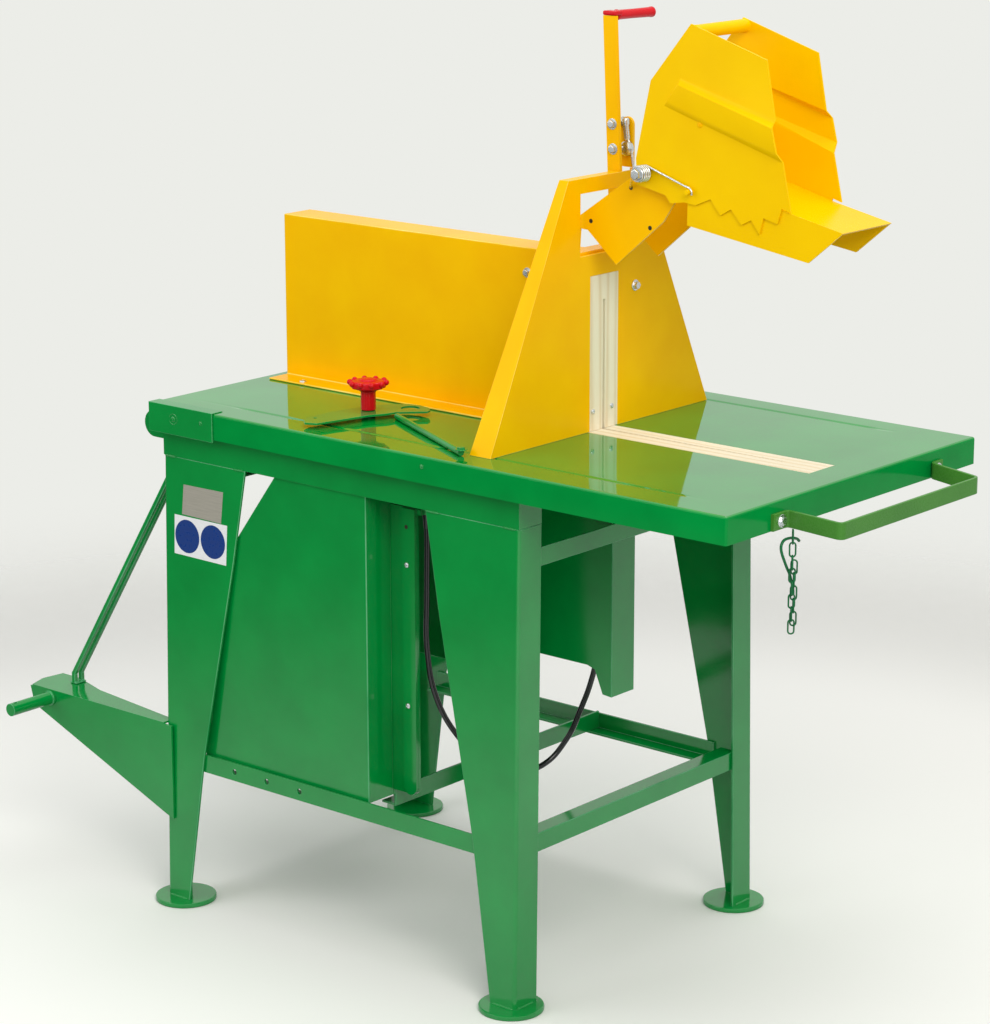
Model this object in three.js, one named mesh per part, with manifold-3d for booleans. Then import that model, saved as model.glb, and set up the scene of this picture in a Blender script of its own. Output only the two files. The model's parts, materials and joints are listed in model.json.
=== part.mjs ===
// Firewood circular saw with a sliding table, driven from a tractor's shaft.
// Millimetres, +Z up. +X is the operator's end, -X the tractor's end, -Y the operator's left.
import * as THREE from "three";
import { mergeVertices } from "three/addons/utils/BufferGeometryUtils.js";
import Module from "manifold-3d";

const wasm = await Module();
wasm.setup();

// Clearances
const gap = 0.3;
const overrun = 6;
const slack = 1.5;
const mergeDistance = 1e-4;

// The table's top face: what stands on it, or hangs below it, is counted from here
const tableTop = 850;

// A name that ends in Step is the distance between two places, and the next line uses it

// Sheet and bar thicknesses
const sheet = 3;
const legSheet = 4;
const plate = 5;

// Legs and feet
const legHalfX = 375;
const legHalfY = 291;
const legTopStep = 89.3;
const legTop = tableTop - legTopStep;
const footXStep = 19;
const footX = legHalfX - footXStep;
const footYStep = 4;
const footY = legHalfY - footYStep;
const footRadius = 51;
const footThickness = 8;
const legSplayX = 4;
const legSplayY = 15;
const legStrip = 52;
const legKneeUpper = 606;
const legKneeLower = 262;
const legPanelTop = 184;
const legPanelKneeUpper = 157;
const legPanelKneeLower = 87;
const legPanelFoot = 50;

// Frame rails
const sideRailTopStep = 19;
const sideRailTop = tableTop - sideRailTopStep;
const sideRailFlange = 28;
const earRadius = 22;
const earReach = 20.5;
const crossRailBottomStep = 156;
const crossRailBottom = tableTop - crossRailBottomStep;
const crossRailHeight = 29;
const crossRailHalfStep = 45;
const crossRailHalf = legHalfY - crossRailHalfStep;
const stretcher = 30;
const stretcherBottom = 238;
const stretcherSideHalfStep = 69;
const stretcherSideHalf = legHalfX - stretcherSideHalfStep;
const stretcherEndHalfStep = 29;
const stretcherEndHalf = legHalfY - stretcherEndHalfStep;
const stretcherEndBottom = 246;
const stretcherHoleRadius = 5;
const stretcherHolePitch = 73;
const stretcherHoleStart = -225;
const middleX = 64;

// Sliding table
const tableBack = -382.5;
const tableFront = 765;
const tableLeftStep = 21;
const tableLeft = -(legHalfY + tableLeftStep);
const tableRightStep = 37;
const tableRight = legHalfY + tableRightStep;
const apron = 42;
const runnerWidth = 12;
const rollerRadius = 13;
const rollerWidth = 11;
const rollerXStep = 4;
const rollerX = legHalfX - rollerXStep;
const rollerInset = 28;
const rollerZStep = 29;
const rollerZ = tableTop - rollerZStep;
const rollerPin = 4;
const capLength = 144;
const capThickness = 2.5;
const capLip = 22;
const capDrop = 46;

// Wood strip in the table
const stripBack = -357;
const stripFront = 706;
const stripHalf = 33;
const stripY = 3;
const stripThickness = 25;
const stripLedge = 7;

// Blade and arbor
const bladeX = -47;
const bladeY = 7;
const bladeZStep = 108;
const bladeZ = tableTop - bladeZStep;
const bladeRadius = 300;
const bladeThickness = 3;
const bladeTeeth = 48;
const toothDepth = 9;
const gulletShare = 0.12;
const slitHalf = 2.7;
const travel = 380;
const arborRadius = 15;
const flangeRadius = 70;
const flangeThickness = 9;
const nutRadius = 22;
const nutThickness = 8;
const housingRadius = 42;
const housingFoot = 68;
const housingFootThickness = 14;
const bearingRadius = 31;
const bearingWidth = 22;

// Belt casing
const casingBack = -300;
const casingFront = 64;
const casingBottom = 263;
const casingTopStep = 38;
const casingTop = tableTop - casingTopStep;
const casingLeftStep = 4.3;
const casingLeft = -legHalfY + casingLeftStep;
const casingDepth = 56.7;
const chamferTopX = -92;
const chamferBottomZStep = 276;
const chamferBottomZ = casingTop - chamferBottomZStep;
const edgeFront = 118;
const edgeWidth = 27;
const edgeThickness = 5;
const edgeTopStep = 74;
const edgeTop = casingTop - edgeTopStep;
const edgeBottomStep = 10;
const edgeBottom = casingBottom + edgeBottomStep;
const edgeCorner = 14;

// Belt drive
const lowerX = -118;
const lowerZStep = 89;
const lowerZ = casingBottom + lowerZStep;
const lowerRadius = 78;
const upperRadius = 52;
const pulleyWidth = 38;
const beltThickness = 8;
const beltWidth = 34;
const shaftRadius = 14;

// Bevel gearbox
const gearboxHalf = 62;
const gearboxDepth = 120;
const gearboxWall = 8;
const bevelRadius = 36;
const bevelLength = 20;
const inputX = -330;
const inputBoss = 26;

// Lower blade guard
const guardBack = -358;
const guardFront = 339;
const guardLeft = -24;
const guardRight = 33;
const guardTopStep = 35;
const guardTop = tableTop - guardTopStep;
const guardDeepStep = 17;
const guardDeep = bladeZ - bladeRadius - guardDeepStep;
const guardLipStep = 49;
const guardLip = guardDeep + guardLipStep;
const guardTongueStep = 5;
const guardTongue = guardDeep + guardTongueStep;
const guardTongueXStep = 18;
const guardTongueX = guardFront - guardTongueXStep;
const guardShoulderXStep = 34;
const guardShoulderX = guardFront - guardShoulderXStep;
const guardCurveXStep = 49;
const guardCurveX = guardFront - guardCurveXStep;
const guardDeepX = 150;
const guardDeepEnd = 118;

// Control cable loop
const cableRadius = 4.5;
const cableX = 126;
const cableYStep = 15;
const cableY = casingLeft + casingDepth + cableYStep;
const cableTopZStep = 9;
const cableTopZ = edgeTop - cableTopZStep;
const clipRadius = 8;
const clipHeight = 24;
const cableEndX = 283;
const cableEndY = 5;
const cableEndZ = 480;
const cableSides = 10;
const cableSteps = 56;

// Hitch
const hitchX = -655;
const hitchPinRadius = 11;
const hitchPinEnd = 398;
const hitchCollar = 13;
const hitchCollarDepth = 4;
const gussetTip = -706;
const gussetTop = 306;
const gussetFoot = 144;
const gussetEnd = -360;
const hitchZStep = 12;
const hitchZ = gussetTop - hitchZStep;
const shelfTip = -713;
const shelfDepth = 76;
const braceWidth = 8;
const braceSpread = 23;
const braceYStep = 41;
const braceY = legHalfY - braceYStep;
const braceFootX = -648;
const braceTopZStep = 10;
const braceTopZ = legTop - braceTopZStep;
const braceKnee = 18;

// Box guard over the blade
const boxLeft = -22;
const boxRight = 40;
const boxBack = stripBack;
const boxTopStep = 272;
const boxTop = tableTop + boxTopStep;
const boxFlangeLeft = -65;
const boxFlangeRight = 78;

// Fence
const fenceFront = 295;
const fenceY = 6;
const fenceFootHalf = 268;
const fenceTopHalf = 92;
const fenceDepthFoot = 41;
const fenceDepthTop = 18;
const boxFront = fenceFront - fenceDepthFoot;
const windowLeft = -52;
const windowRight = 66;
const windowBottom = boxTop;
const windowTopStep = 99;
const windowTop = windowBottom + windowTopStep;
const fenceShoulderStep = 13;
const fenceShoulder = windowTop + fenceShoulderStep;
const fenceTopStep = 10;
const fenceTop = fenceShoulder + fenceTopStep;
const notchLeft = 44;
const notchRight = 90;
const insertLeft = -27;
const insertRight = 41;
const insertTopStep = 30;
const insertTop = boxTop - insertTopStep;
const insertSlitTopStep = 39;
const insertSlitTop = insertTop - insertSlitTopStep;

// Hood arm and pivot
const pivotXStep = 129;
const pivotX = fenceFront + pivotXStep;
const pivotZStep = 144;
const pivotZ = windowBottom + pivotZStep;
const armLeftStep = 8;
const armLeft = windowLeft + armLeftStep;
const armRightStep = 8;
const armRight = windowRight - armRightStep;
const armThickness = 4;
const armFootXStep = 4;
const armFootX = boxFront + armFootXStep;
const armFootDepth = 28;
const armReach = 166;
const armDrop = 146;
const pivotRadius = 6;
const pivotHead = 11;
const pivotHeadThickness = 8;
const spacerRadius = 12;

// Hood
const hoodLeftStep = 14;
const hoodLeft = armLeft - hoodLeftStep;
const hoodRightStep = 14;
const hoodRight = armRight + hoodRightStep;
const hoodReach = 260;
const hoodRise = 222;
const crossBarRadius = 10;
const bandHeight = 12;
const bandBack = 3;
const channelReach = 351;
const channelDrop = 103;
const channelFall = 1.2;
const hoodPinRadius = 4;
const hoodPinLength = 13;

// Torsion spring on the pivot bolt
const springWire = 1.5;
const springRadius = 11;
const springTurns = 4;
const springPitch = 4.2;
const springSteps = 8;
const springSides = 5;
const springStart = 150;
const springEnd = 73;
const springLeg = 26;
const springBush = 8;

// Hand lever
const leverXStep = 12;
const leverX = fenceFront - leverXStep;
const leverZStep = 28;
const leverZ = windowBottom + leverZStep;
const leverYStep = 7;
const leverY = armRight - leverYStep;
const leverTopXStep = 15;
const leverTopX = leverX - leverTopXStep;
const leverLength = 328;
const leverTopZ = leverZ + leverLength;
const leverWidth = 24;
const leverThickness = 6;
const leverPin = 6;
const clampUpperShare = 0.503;
const clampLowerShare = 0.387;
const clampUpperZ = leverZ + leverLength * clampUpperShare;
const clampLowerZ = leverZ + leverLength * clampLowerShare;
const clampRadius = 7;
const sidePlateYStep = 23;
const sidePlateY = leverY + sidePlateYStep;
const sidePlateTopStep = 10;
const sidePlateTop = clampUpperZ + sidePlateTopStep;
const sidePlateBottomStep = 29;
const sidePlateBottom = clampLowerZ - sidePlateBottomStep;
const sidePlateThickness = 4;
const wireRadius = 2;
const gripLeft = leverY - leverThickness / 2 - gap;
const gripMiddleStep = 15;
const gripMiddle = gripLeft + gripMiddleStep;
const gripEndStep = 93;
const gripEnd = gripMiddle + gripEndStep;
const gripRadius = 8.5;
const gripHub = 7;
const gripDroop = 1;

// Knob, spoon plate and stay rod
const knobX = -42;
const knobY = -163;
const knobStem = 12;
const knobRadius = 29;
const knobLobe = 4.5;
const knobLobes = 10;
const spoonZStep = 7;
const spoonZ = tableTop + spoonZStep;
const knobStemTopStep = 35;
const knobStemTop = spoonZ + knobStemTopStep;
const knobTopStep = 19;
const knobTop = knobStemTop + knobTopStep;
const spoonWidth = 190;
const spoonDepth = 96;
const spoonBoss = 11;
const spoonEye = 15;
const studRadius = 6;
const rodRadius = 5;
const rodStartX = 9;
const rodStartY = -152;
const rodEndX = 248;
const rodEndY = -274;
const rodBolt = 8;

// Push handle
const handleBar = 5;
const handleHeight = 25;
const handleBottomStep = 41.5;
const handleBottom = tableTop - handleBottomStep;
const handleReach = 101;
const handleTabLeft = -207;
const handleArmLeft = -168;
const handleCornerLeft = -182;
const handleCornerRight = 168;
const handleArmRight = 200;
const handleTabRight = 229;
const handleBoltRadius = 9;
const handleBoltHead = 6;

// Chain and hook
const chainXStep = 14;
const chainX = tableFront + chainXStep;
const chainYStep = 4;
const chainY = handleArmLeft - chainYStep;
const chainLength = 154;
const chainWidth = 11;
const chainFold = 48;
const chainTip = 0.4;
const hookWire = 2.2;
const hookSpan = 32;
const hookFall = 102;

// The part stands in the middle of its own length
const handleEnd = tableFront + handleReach + gap + handleBar;
const middle = (shelfTip + handleEnd) / 2;

// Colours
const green = new THREE.MeshStandardMaterial({ color: 0x00893a, roughness: 0.25, metalness: 0 });
const yellow = new THREE.MeshStandardMaterial({ color: 0xf0c400, roughness: 0.25, metalness: 0 });
const red = new THREE.MeshStandardMaterial({ color: 0xd81622, roughness: 0.35, metalness: 0 });
const olive = new THREE.MeshStandardMaterial({ color: 0x689646, roughness: 0.35, metalness: 0 });
const wood = new THREE.MeshStandardMaterial({ color: 0xf0e2c0, roughness: 0.7, metalness: 0 });
const steel = new THREE.MeshStandardMaterial({ color: 0xb8bcc0, roughness: 0.3, metalness: 1 });
const castIron = new THREE.MeshStandardMaterial({ color: 0x4a4e50, roughness: 0.6, metalness: 0.6 });
const rubber = new THREE.MeshStandardMaterial({ color: 0x111214, roughness: 0.4, metalness: 0 });

const model = new THREE.Group();
model.position.x = -middle;

function add(name, material, geometry) {
  const mesh = new THREE.Mesh(geometry, material);
  mesh.name = name;
  model.add(mesh);
  return mesh;
}

// Booleans
function solid(geometry) {
  const bare = geometry.clone();
  bare.deleteAttribute("normal");
  bare.deleteAttribute("uv");
  const merged = mergeVertices(bare, mergeDistance);
  return new wasm.Manifold(new wasm.Mesh({
    numProp: 3,
    vertProperties: new Float32Array(merged.attributes.position.array),
    triVerts: new Uint32Array(merged.index.array),
  }));
}

function geometryOf(manifold) {
  const mesh = manifold.getMesh();
  const geometry = new THREE.BufferGeometry();
  geometry.setAttribute("position", new THREE.BufferAttribute(new Float32Array(mesh.vertProperties), 3));
  geometry.setIndex(new THREE.BufferAttribute(new Uint32Array(mesh.triVerts), 1));
  geometry.computeVertexNormals();
  return geometry;
}

function join(...pieces) {
  return geometryOf(pieces.map(solid).reduce((sum, piece) => sum.add(piece)));
}

function cut(piece, ...tools) {
  return geometryOf(tools.map(solid).reduce((rest, tool) => rest.subtract(tool), solid(piece)));
}

// Outlines: shares of a length and a height, counted from a corner or a pivot
function outline(shares, length, height, originU = 0, originV = 0) {
  return shares.map(([u, v]) => [originU + u * length, originV + v * height]);
}

// A flat slab: its outline lies in the named plane and it reaches from one side to the other
const slabAxes = {
  xy: [[1, 0, 0], [0, 1, 0], [0, 0, 1]],
  xz: [[1, 0, 0], [0, 0, 1], [0, -1, 0]],
  yz: [[0, 1, 0], [0, 0, 1], [1, 0, 0]],
};

function slab(plane, points, from, to) {
  const shape = new THREE.Shape(points.map(([u, v]) => new THREE.Vector2(u, v)));
  const geometry = new THREE.ExtrudeGeometry(shape, { depth: to - from, bevelEnabled: false });
  const axes = slabAxes[plane].map((axis) => new THREE.Vector3(...axis));
  geometry.applyMatrix4(new THREE.Matrix4().makeBasis(...axes));
  const shift = axes[2].clone().multiplyScalar(plane === "xz" ? -to : from);
  return geometry.translate(shift.x, shift.y, shift.z);
}

function block(x0, x1, y0, y1, z0, z1) {
  return new THREE.BoxGeometry(x1 - x0, y1 - y0, z1 - z0)
    .translate((x0 + x1) / 2, (y0 + y1) / 2, (z0 + z1) / 2);
}

function rod(axis, radius, from, to, u, v, sides = 24) {
  const geometry = new THREE.CylinderGeometry(radius, radius, to - from, sides);
  const half = (from + to) / 2;
  if (axis === "x") return geometry.rotateZ(Math.PI / 2).translate(half, u, v);
  if (axis === "y") return geometry.translate(u, half, v);
  return geometry.rotateX(Math.PI / 2).translate(u, v, half);
}

// A solid between rings of equally many points, with flat ends
function loft(rings) {
  const size = rings[0].length;
  const flat = rings[0].map(([u, v, w]) => new THREE.Vector3(u, v, w));
  const normal = new THREE.Vector3();
  flat.forEach((point, i) => normal.add(point.clone().cross(flat[(i + 1) % size])));
  const side = new THREE.Vector3(...rings[1][0]).sub(flat[0]);
  const ordered = normal.dot(side) > 0 ? rings : rings.map((ring) => [...ring].reverse());
  const first = ordered[0].map((point) => new THREE.Vector3(...point));
  const facing = new THREE.Vector3();
  first.forEach((point, i) => facing.add(point.clone().cross(first[(i + 1) % size])));
  facing.normalize();
  const across = first[1].clone().sub(first[0]).normalize();
  const along = facing.clone().cross(across);
  const flatFirst = first.map((point) => new THREE.Vector2(point.dot(across), point.dot(along)));
  const faces = THREE.ShapeUtils.triangulateShape(flatFirst, []);
  const index = [];
  faces.forEach(([a, b, c]) => index.push(a, c, b));
  for (let ring = 0; ring < ordered.length - 1; ring += 1) {
    for (let i = 0; i < size; i += 1) {
      const a = ring * size + i;
      const b = ring * size + (i + 1) % size;
      index.push(a, b, b + size, a, b + size, a + size);
    }
  }
  const last = (ordered.length - 1) * size;
  faces.forEach(([a, b, c]) => index.push(last + a, last + b, last + c));
  const geometry = new THREE.BufferGeometry();
  geometry.setAttribute("position", new THREE.Float32BufferAttribute(ordered.flat(2), 3));
  geometry.setIndex(index);
  geometry.computeVertexNormals();
  return geometry;
}

// A round tube through a list of points, with square ends
function wire(points, radius, sides) {
  const path = points.map((point) => (point.isVector3 ? point : new THREE.Vector3(...point)));
  const tangents = path.map((point, i) => {
    const before = path[Math.max(i - 1, 0)];
    const after = path[Math.min(i + 1, path.length - 1)];
    return after.clone().sub(before).normalize();
  });
  const up = Math.abs(tangents[0].z) < 0.9 ? new THREE.Vector3(0, 0, 1) : new THREE.Vector3(1, 0, 0);
  const side = up.clone().cross(tangents[0]).normalize();
  const rings = path.map((point, i) => {
    side.sub(tangents[i].clone().multiplyScalar(side.dot(tangents[i]))).normalize();
    const other = tangents[i].clone().cross(side);
    return Array.from({ length: sides }, (_, k) => {
      const angle = (2 * Math.PI * k) / sides;
      return point.clone()
        .addScaledVector(side, radius * Math.cos(angle))
        .addScaledVector(other, radius * Math.sin(angle))
        .toArray();
    });
  });
  return loft(rings);
}

function arc(centreU, centreV, radius, from, to, steps) {
  return Array.from({ length: steps + 1 }, (_, i) => {
    const angle = THREE.MathUtils.degToRad(from + ((to - from) * i) / steps);
    return [centreU + radius * Math.cos(angle), centreV + radius * Math.sin(angle)];
  });
}

const ends = { tractor: -1, operator: 1 };
const sides = { left: -1, right: 1 };

// Legs: a tapering bent sheet on a round foot
function legX(z) {
  return legHalfX + legSplayX * (1 - z / legTop);
}

function legY(z) {
  return legHalfY + legSplayY * (1 - z / legTop);
}

function leg(end, side) {
  const levels = [
    [footThickness - gap, legPanelFoot],
    [legKneeLower, legPanelKneeLower],
    [legKneeUpper, legPanelKneeUpper],
    [legTop, legPanelTop],
  ];
  const rings = levels.map(([z, panel]) => {
    const x = legX(z);
    const y = legY(z);
    return [
      [x, y], [x - panel, y], [x - panel, y - legSheet],
      [x - legSheet, y - legSheet], [x - legSheet, y - legStrip], [x, y - legStrip],
    ].map(([u, v]) => [end * u, side * v, z]);
  });
  const foot = rod("z", footRadius, 0, footThickness, end * footX, side * footY, 40);
  return join(loft(rings), foot);
}

for (const [endName, end] of Object.entries(ends)) {
  for (const [sideName, side] of Object.entries(sides)) {
    add(`leg_${endName}_${sideName}`, green, leg(end, side));
  }
}

// Side rails: angles whose web stands on the legs and carries the rollers, with an end fold at the
// operator's end and a round ear past the tractor's end
function sideRail(side) {
  const outer = side * legHalfY;
  const inner = outer - side * legSheet;
  const edge = outer - side * sideRailFlange;
  const fold = outer - side * legStrip;
  const low = Math.min(outer, inner);
  const high = Math.max(outer, inner);
  const points = [
    [outer, legTop + gap], [outer, sideRailTop], [edge, sideRailTop],
    [edge, sideRailTop - legSheet], [inner, sideRailTop - legSheet], [inner, legTop + gap],
  ];
  const rail = slab("yz", side > 0 ? points : points.reverse(), -legHalfX, legHalfX);
  const end = block(legHalfX - legSheet, legHalfX, Math.min(outer, fold), Math.max(outer, fold),
    legTop + gap, sideRailTop);
  const earX = -legHalfX - earReach;
  const earZ = sideRailTop - earRadius;
  const ear = slab("xz", [
    [slack - legHalfX, earZ - earRadius], [slack - legHalfX, sideRailTop],
    ...arc(earX, earZ, earRadius, 90, 270, 14),
  ], low, high);
  const bores = [-rollerX, rollerX - rollerInset].map((x) =>
    rod("y", rollerPin + gap, low - overrun, high + overrun, x, rollerZ));
  return cut(join(rail, end, ear), ...bores);
}

for (const [sideName, side] of Object.entries(sides)) {
  add(`side_rail_${sideName}`, green, sideRail(side));
}

// Upper cross rails: angles behind the legs' strips, with an inward flange that holds the blade guard
function crossRail(end) {
  const outer = legX(crossRailBottom) - legSheet - gap - legSplayX * crossRailHeight / legTop;
  const inner = (end > 0 ? guardFront : -guardBack) + gap;
  const top = crossRailBottom + crossRailHeight;
  const points = [
    [outer, crossRailBottom], [outer, top], [outer - sheet, top],
    [outer - sheet, crossRailBottom + sheet], [inner, crossRailBottom + sheet],
    [inner, crossRailBottom],
  ].map(([x, z]) => [end * x, z]);
  return slab("xz", points, -crossRailHalf, crossRailHalf);
}

for (const [endName, end] of Object.entries(ends)) {
  add(`cross_rail_${endName}`, green, crossRail(end));
}

// Low stretchers
const stretcherTop = stretcherBottom + stretcher;
const stretcherFace = legY(stretcherTop) - legSheet - gap;

function sideStretcher(side) {
  const points = [
    [stretcherFace, stretcherBottom], [stretcherFace, stretcherTop],
    [stretcherFace - legSheet, stretcherTop], [stretcherFace - legSheet, stretcherBottom + legSheet],
    [stretcherFace - stretcher, stretcherBottom + legSheet], [stretcherFace - stretcher, stretcherBottom],
  ].map(([y, z]) => [side * y, z]);
  const bar = slab("yz", points, -stretcherSideHalf, stretcherSideHalf);
  if (side > 0) return bar;
  const holes = [0, 1, 2].map((i) => rod("y", stretcherHoleRadius, -stretcherFace - overrun,
    -stretcherFace + legSheet + overrun, stretcherHoleStart + i * stretcherHolePitch,
    stretcherBottom + stretcher / 2, 16));
  return cut(bar, ...holes);
}

function endStretcher(end) {
  const top = stretcherEndBottom + stretcher;
  const face = legX(top) - legSheet - gap;
  const points = [
    [face, stretcherEndBottom], [face, top], [face - stretcher, top],
    [face - stretcher, top - legSheet], [face - legSheet, top - legSheet],
    [face - legSheet, stretcherEndBottom],
  ].map(([x, z]) => [end * x, z]);
  return slab("xz", points, -stretcherEndHalf, stretcherEndHalf);
}

for (const [sideName, side] of Object.entries(sides)) {
  add(`stretcher_${sideName}`, green, sideStretcher(side));
}
for (const [endName, end] of Object.entries(ends)) {
  add(`stretcher_${endName}`, green, endStretcher(end));
}

// Middle member: an angle from the casing's back plate to the right stretcher
const backPlateFace = casingLeft + casingDepth + gap;
const middleBottom = stretcherBottom + legSheet + gap;
add("middle_member", green, slab("xz", [
  [middleX, middleBottom], [middleX, middleBottom + stretcher],
  [middleX - legSheet, middleBottom + stretcher],
  [middleX - legSheet, middleBottom + legSheet], [middleX - stretcher, middleBottom + legSheet],
  [middleX - stretcher, middleBottom],
], backPlateFace + plate + gap, stretcherFace - legSheet - gap));

// Belt casing: a cover open at the back, shut by the back plate
function casingOutline(inset) {
  const slope = (casingTop - chamferBottomZ) / (chamferTopX - casingBack);
  const shift = inset * Math.hypot(1, slope);
  return [
    [casingBack + inset, casingBottom + inset],
    [casingFront - inset, casingBottom + inset],
    [casingFront - inset, casingTop - inset],
    [chamferTopX + (shift - inset) / slope, casingTop - inset],
    [casingBack + inset, chamferBottomZ - shift + inset * slope],
  ];
}

const casingRight = casingLeft + casingDepth;
add("belt_casing", green, cut(
  slab("xz", casingOutline(0), casingLeft, casingRight),
  slab("xz", casingOutline(sheet), casingLeft + sheet, casingRight + overrun),
));

function backPlate() {
  const [cornerBack, , , chamferTop, chamferBottom] = casingOutline(0);
  const points = [
    cornerBack, [casingFront, casingBottom], [casingFront, edgeBottom],
    ...arc(edgeFront - edgeCorner, edgeBottom + edgeCorner, edgeCorner, -90, 0, 6),
    [edgeFront, edgeTop], [casingFront, edgeTop], [casingFront, casingTop], chamferTop, chamferBottom,
  ];
  const sheetPlate = slab("xz", points, backPlateFace, backPlateFace + plate);
  const edge = slab("xz", [
    ...arc(edgeFront - edgeWidth + edgeCorner, edgeBottom + edgeCorner, edgeCorner, -180, -90, 4),
    ...arc(edgeFront - edgeCorner, edgeBottom + edgeCorner, edgeCorner - gap, -90, 0, 4),
    [edgeFront - gap, edgeTop - gap], [edgeFront - edgeWidth, edgeTop - gap],
  ], backPlateFace - edgeThickness, backPlateFace + gap);
  const lug = block(edgeFront - edgeWidth, cableX, backPlateFace + gap, cableY,
    cableTopZ + gap, edgeTop - gap);
  const clip = rod("z", clipRadius, cableTopZ + gap, cableTopZ + gap + clipHeight, cableX, cableY, 20);
  return cut(
    join(sheetPlate, edge, lug, clip),
    rod("y", arborRadius + slack, backPlateFace - overrun, backPlateFace + plate + overrun, bladeX, bladeZ),
    rod("y", shaftRadius + slack, backPlateFace - overrun, backPlateFace + plate + overrun, lowerX, lowerZ),
  );
}

add("casing_back_plate", green, backPlate());

// Arbor, its housing and bearings, with the axis along Y
const backPlateRear = backPlateFace + plate;
const housingBack = backPlateRear + gap;
const housingFront = guardLeft - gap;
const flangeInnerFace = bladeY - bladeThickness / 2 - gap;
const flangeOuterFace = bladeY + bladeThickness / 2 + gap;
const pulleyFace = backPlateFace - gap - slack;

function ring(axisX, axisZ, outer, inner, from, to) {
  return cut(
    rod("y", outer, from, to, axisX, axisZ, 32),
    rod("y", inner, from - overrun, to + overrun, axisX, axisZ, 32),
  );
}

add("arbor_housing", castIron, cut(
  join(
    block(bladeX - housingFoot, bladeX + housingFoot, housingBack, housingBack + housingFootThickness,
      bladeZ - housingFoot, bladeZ + housingFoot),
    rod("y", housingRadius, housingBack, housingFront, bladeX, bladeZ, 32),
  ),
  rod("y", bearingRadius + gap, housingBack - overrun, housingFront + overrun, bladeX, bladeZ, 32),
));

const bearingPlaces = {
  pulley: housingBack + housingFootThickness,
  blade: housingFront - housingFootThickness - bearingWidth,
};
for (const [name, from] of Object.entries(bearingPlaces)) {
  add(`arbor_bearing_${name}`, steel,
    ring(bladeX, bladeZ, bearingRadius, arborRadius + gap, from, from + bearingWidth));
}

add("arbor", steel, join(
  rod("y", upperRadius, pulleyFace - pulleyWidth, pulleyFace, bladeX, bladeZ, 40),
  rod("y", arborRadius, pulleyFace - gap, flangeOuterFace + flangeThickness + nutThickness,
    bladeX, bladeZ, 32),
  rod("y", flangeRadius, flangeInnerFace - flangeThickness, flangeInnerFace, bladeX, bladeZ, 40),
));

// Blade: a toothed disc
function blade() {
  const points = [];
  const step = 360 / bladeTeeth;
  const root = bladeRadius - toothDepth;
  for (let tooth = 0; tooth < bladeTeeth; tooth += 1) {
    points.push(...arc(bladeX, bladeZ, bladeRadius, tooth * step, tooth * step, 1).slice(1));
    const gullet = (tooth + gulletShare) * step;
    points.push(...arc(bladeX, bladeZ, root, gullet, gullet, 1).slice(1));
  }
  const disc = slab("xz", points, bladeY - bladeThickness / 2, bladeY + bladeThickness / 2);
  return cut(disc, rod("y", arborRadius + gap, bladeY - bladeThickness - overrun,
    bladeY + bladeThickness + overrun, bladeX, bladeZ, 32));
}

add("saw_blade", steel, blade());

add("blade_flange", steel, cut(
  join(
    rod("y", flangeRadius, flangeOuterFace, flangeOuterFace + flangeThickness, bladeX, bladeZ, 40),
    rod("y", nutRadius, flangeOuterFace + flangeThickness - gap,
      flangeOuterFace + flangeThickness + nutThickness, bladeX, bladeZ, 6),
  ),
  rod("y", arborRadius + gap, flangeOuterFace - overrun,
    flangeOuterFace + flangeThickness + nutThickness + overrun, bladeX, bladeZ, 32),
));

// Drive shaft with the large pulley and a bevel gear
const gearboxBack = backPlateRear + gap;
const gearboxFront = gearboxBack + gearboxDepth;
const gearboxMiddle = (gearboxBack + gearboxFront) / 2;

add("drive_shaft", steel, join(
  rod("y", lowerRadius, pulleyFace - pulleyWidth, pulleyFace, lowerX, lowerZ, 40),
  rod("y", shaftRadius, pulleyFace - gap, gearboxMiddle - bevelRadius, lowerX, lowerZ, 24),
  new THREE.CylinderGeometry(bevelRadius - bevelLength, bevelRadius, bevelLength, 24)
    .translate(lowerX, gearboxMiddle - bevelRadius, lowerZ),
));

add("input_shaft", steel, join(
  rod("x", shaftRadius, inputX, lowerX - bevelRadius, gearboxMiddle, lowerZ, 24),
  new THREE.CylinderGeometry(bevelRadius - bevelLength, bevelRadius, bevelLength, 24)
    .rotateZ(-Math.PI / 2).translate(lowerX - bevelRadius, gearboxMiddle, lowerZ),
));

add("gearbox", castIron, cut(
  join(
    block(lowerX - gearboxHalf, lowerX + gearboxHalf, gearboxBack, gearboxFront,
      lowerZ - gearboxHalf, lowerZ + gearboxHalf),
    rod("x", inputBoss, lowerX - gearboxHalf - inputBoss, lowerX - gearboxHalf + gap,
      gearboxMiddle, lowerZ),
  ),
  block(lowerX - gearboxHalf + gearboxWall, lowerX + gearboxHalf - gearboxWall,
    gearboxBack + gearboxWall, gearboxFront - gearboxWall,
    lowerZ - gearboxHalf + gearboxWall, lowerZ + gearboxHalf - gearboxWall),
  rod("y", shaftRadius + gap, gearboxBack - overrun, gearboxBack + gearboxWall + overrun, lowerX, lowerZ),
  rod("x", shaftRadius + gap, lowerX - gearboxHalf - inputBoss - overrun,
    lowerX - gearboxHalf + gearboxWall + overrun, gearboxMiddle, lowerZ),
));

// Drive belt: outer tangents of the two pulleys
function beltOutline(extra) {
  const dx = bladeX - lowerX;
  const dz = bladeZ - lowerZ;
  const distance = Math.hypot(dx, dz);
  const heading = THREE.MathUtils.radToDeg(Math.atan2(dz, dx));
  const lean = THREE.MathUtils.radToDeg(Math.acos((lowerRadius - upperRadius) / distance));
  return [
    ...arc(bladeX, bladeZ, upperRadius + extra, heading - lean, heading + lean, 14),
    ...arc(lowerX, lowerZ, lowerRadius + extra, heading + lean, heading + 360 - lean, 18),
  ];
}

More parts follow.
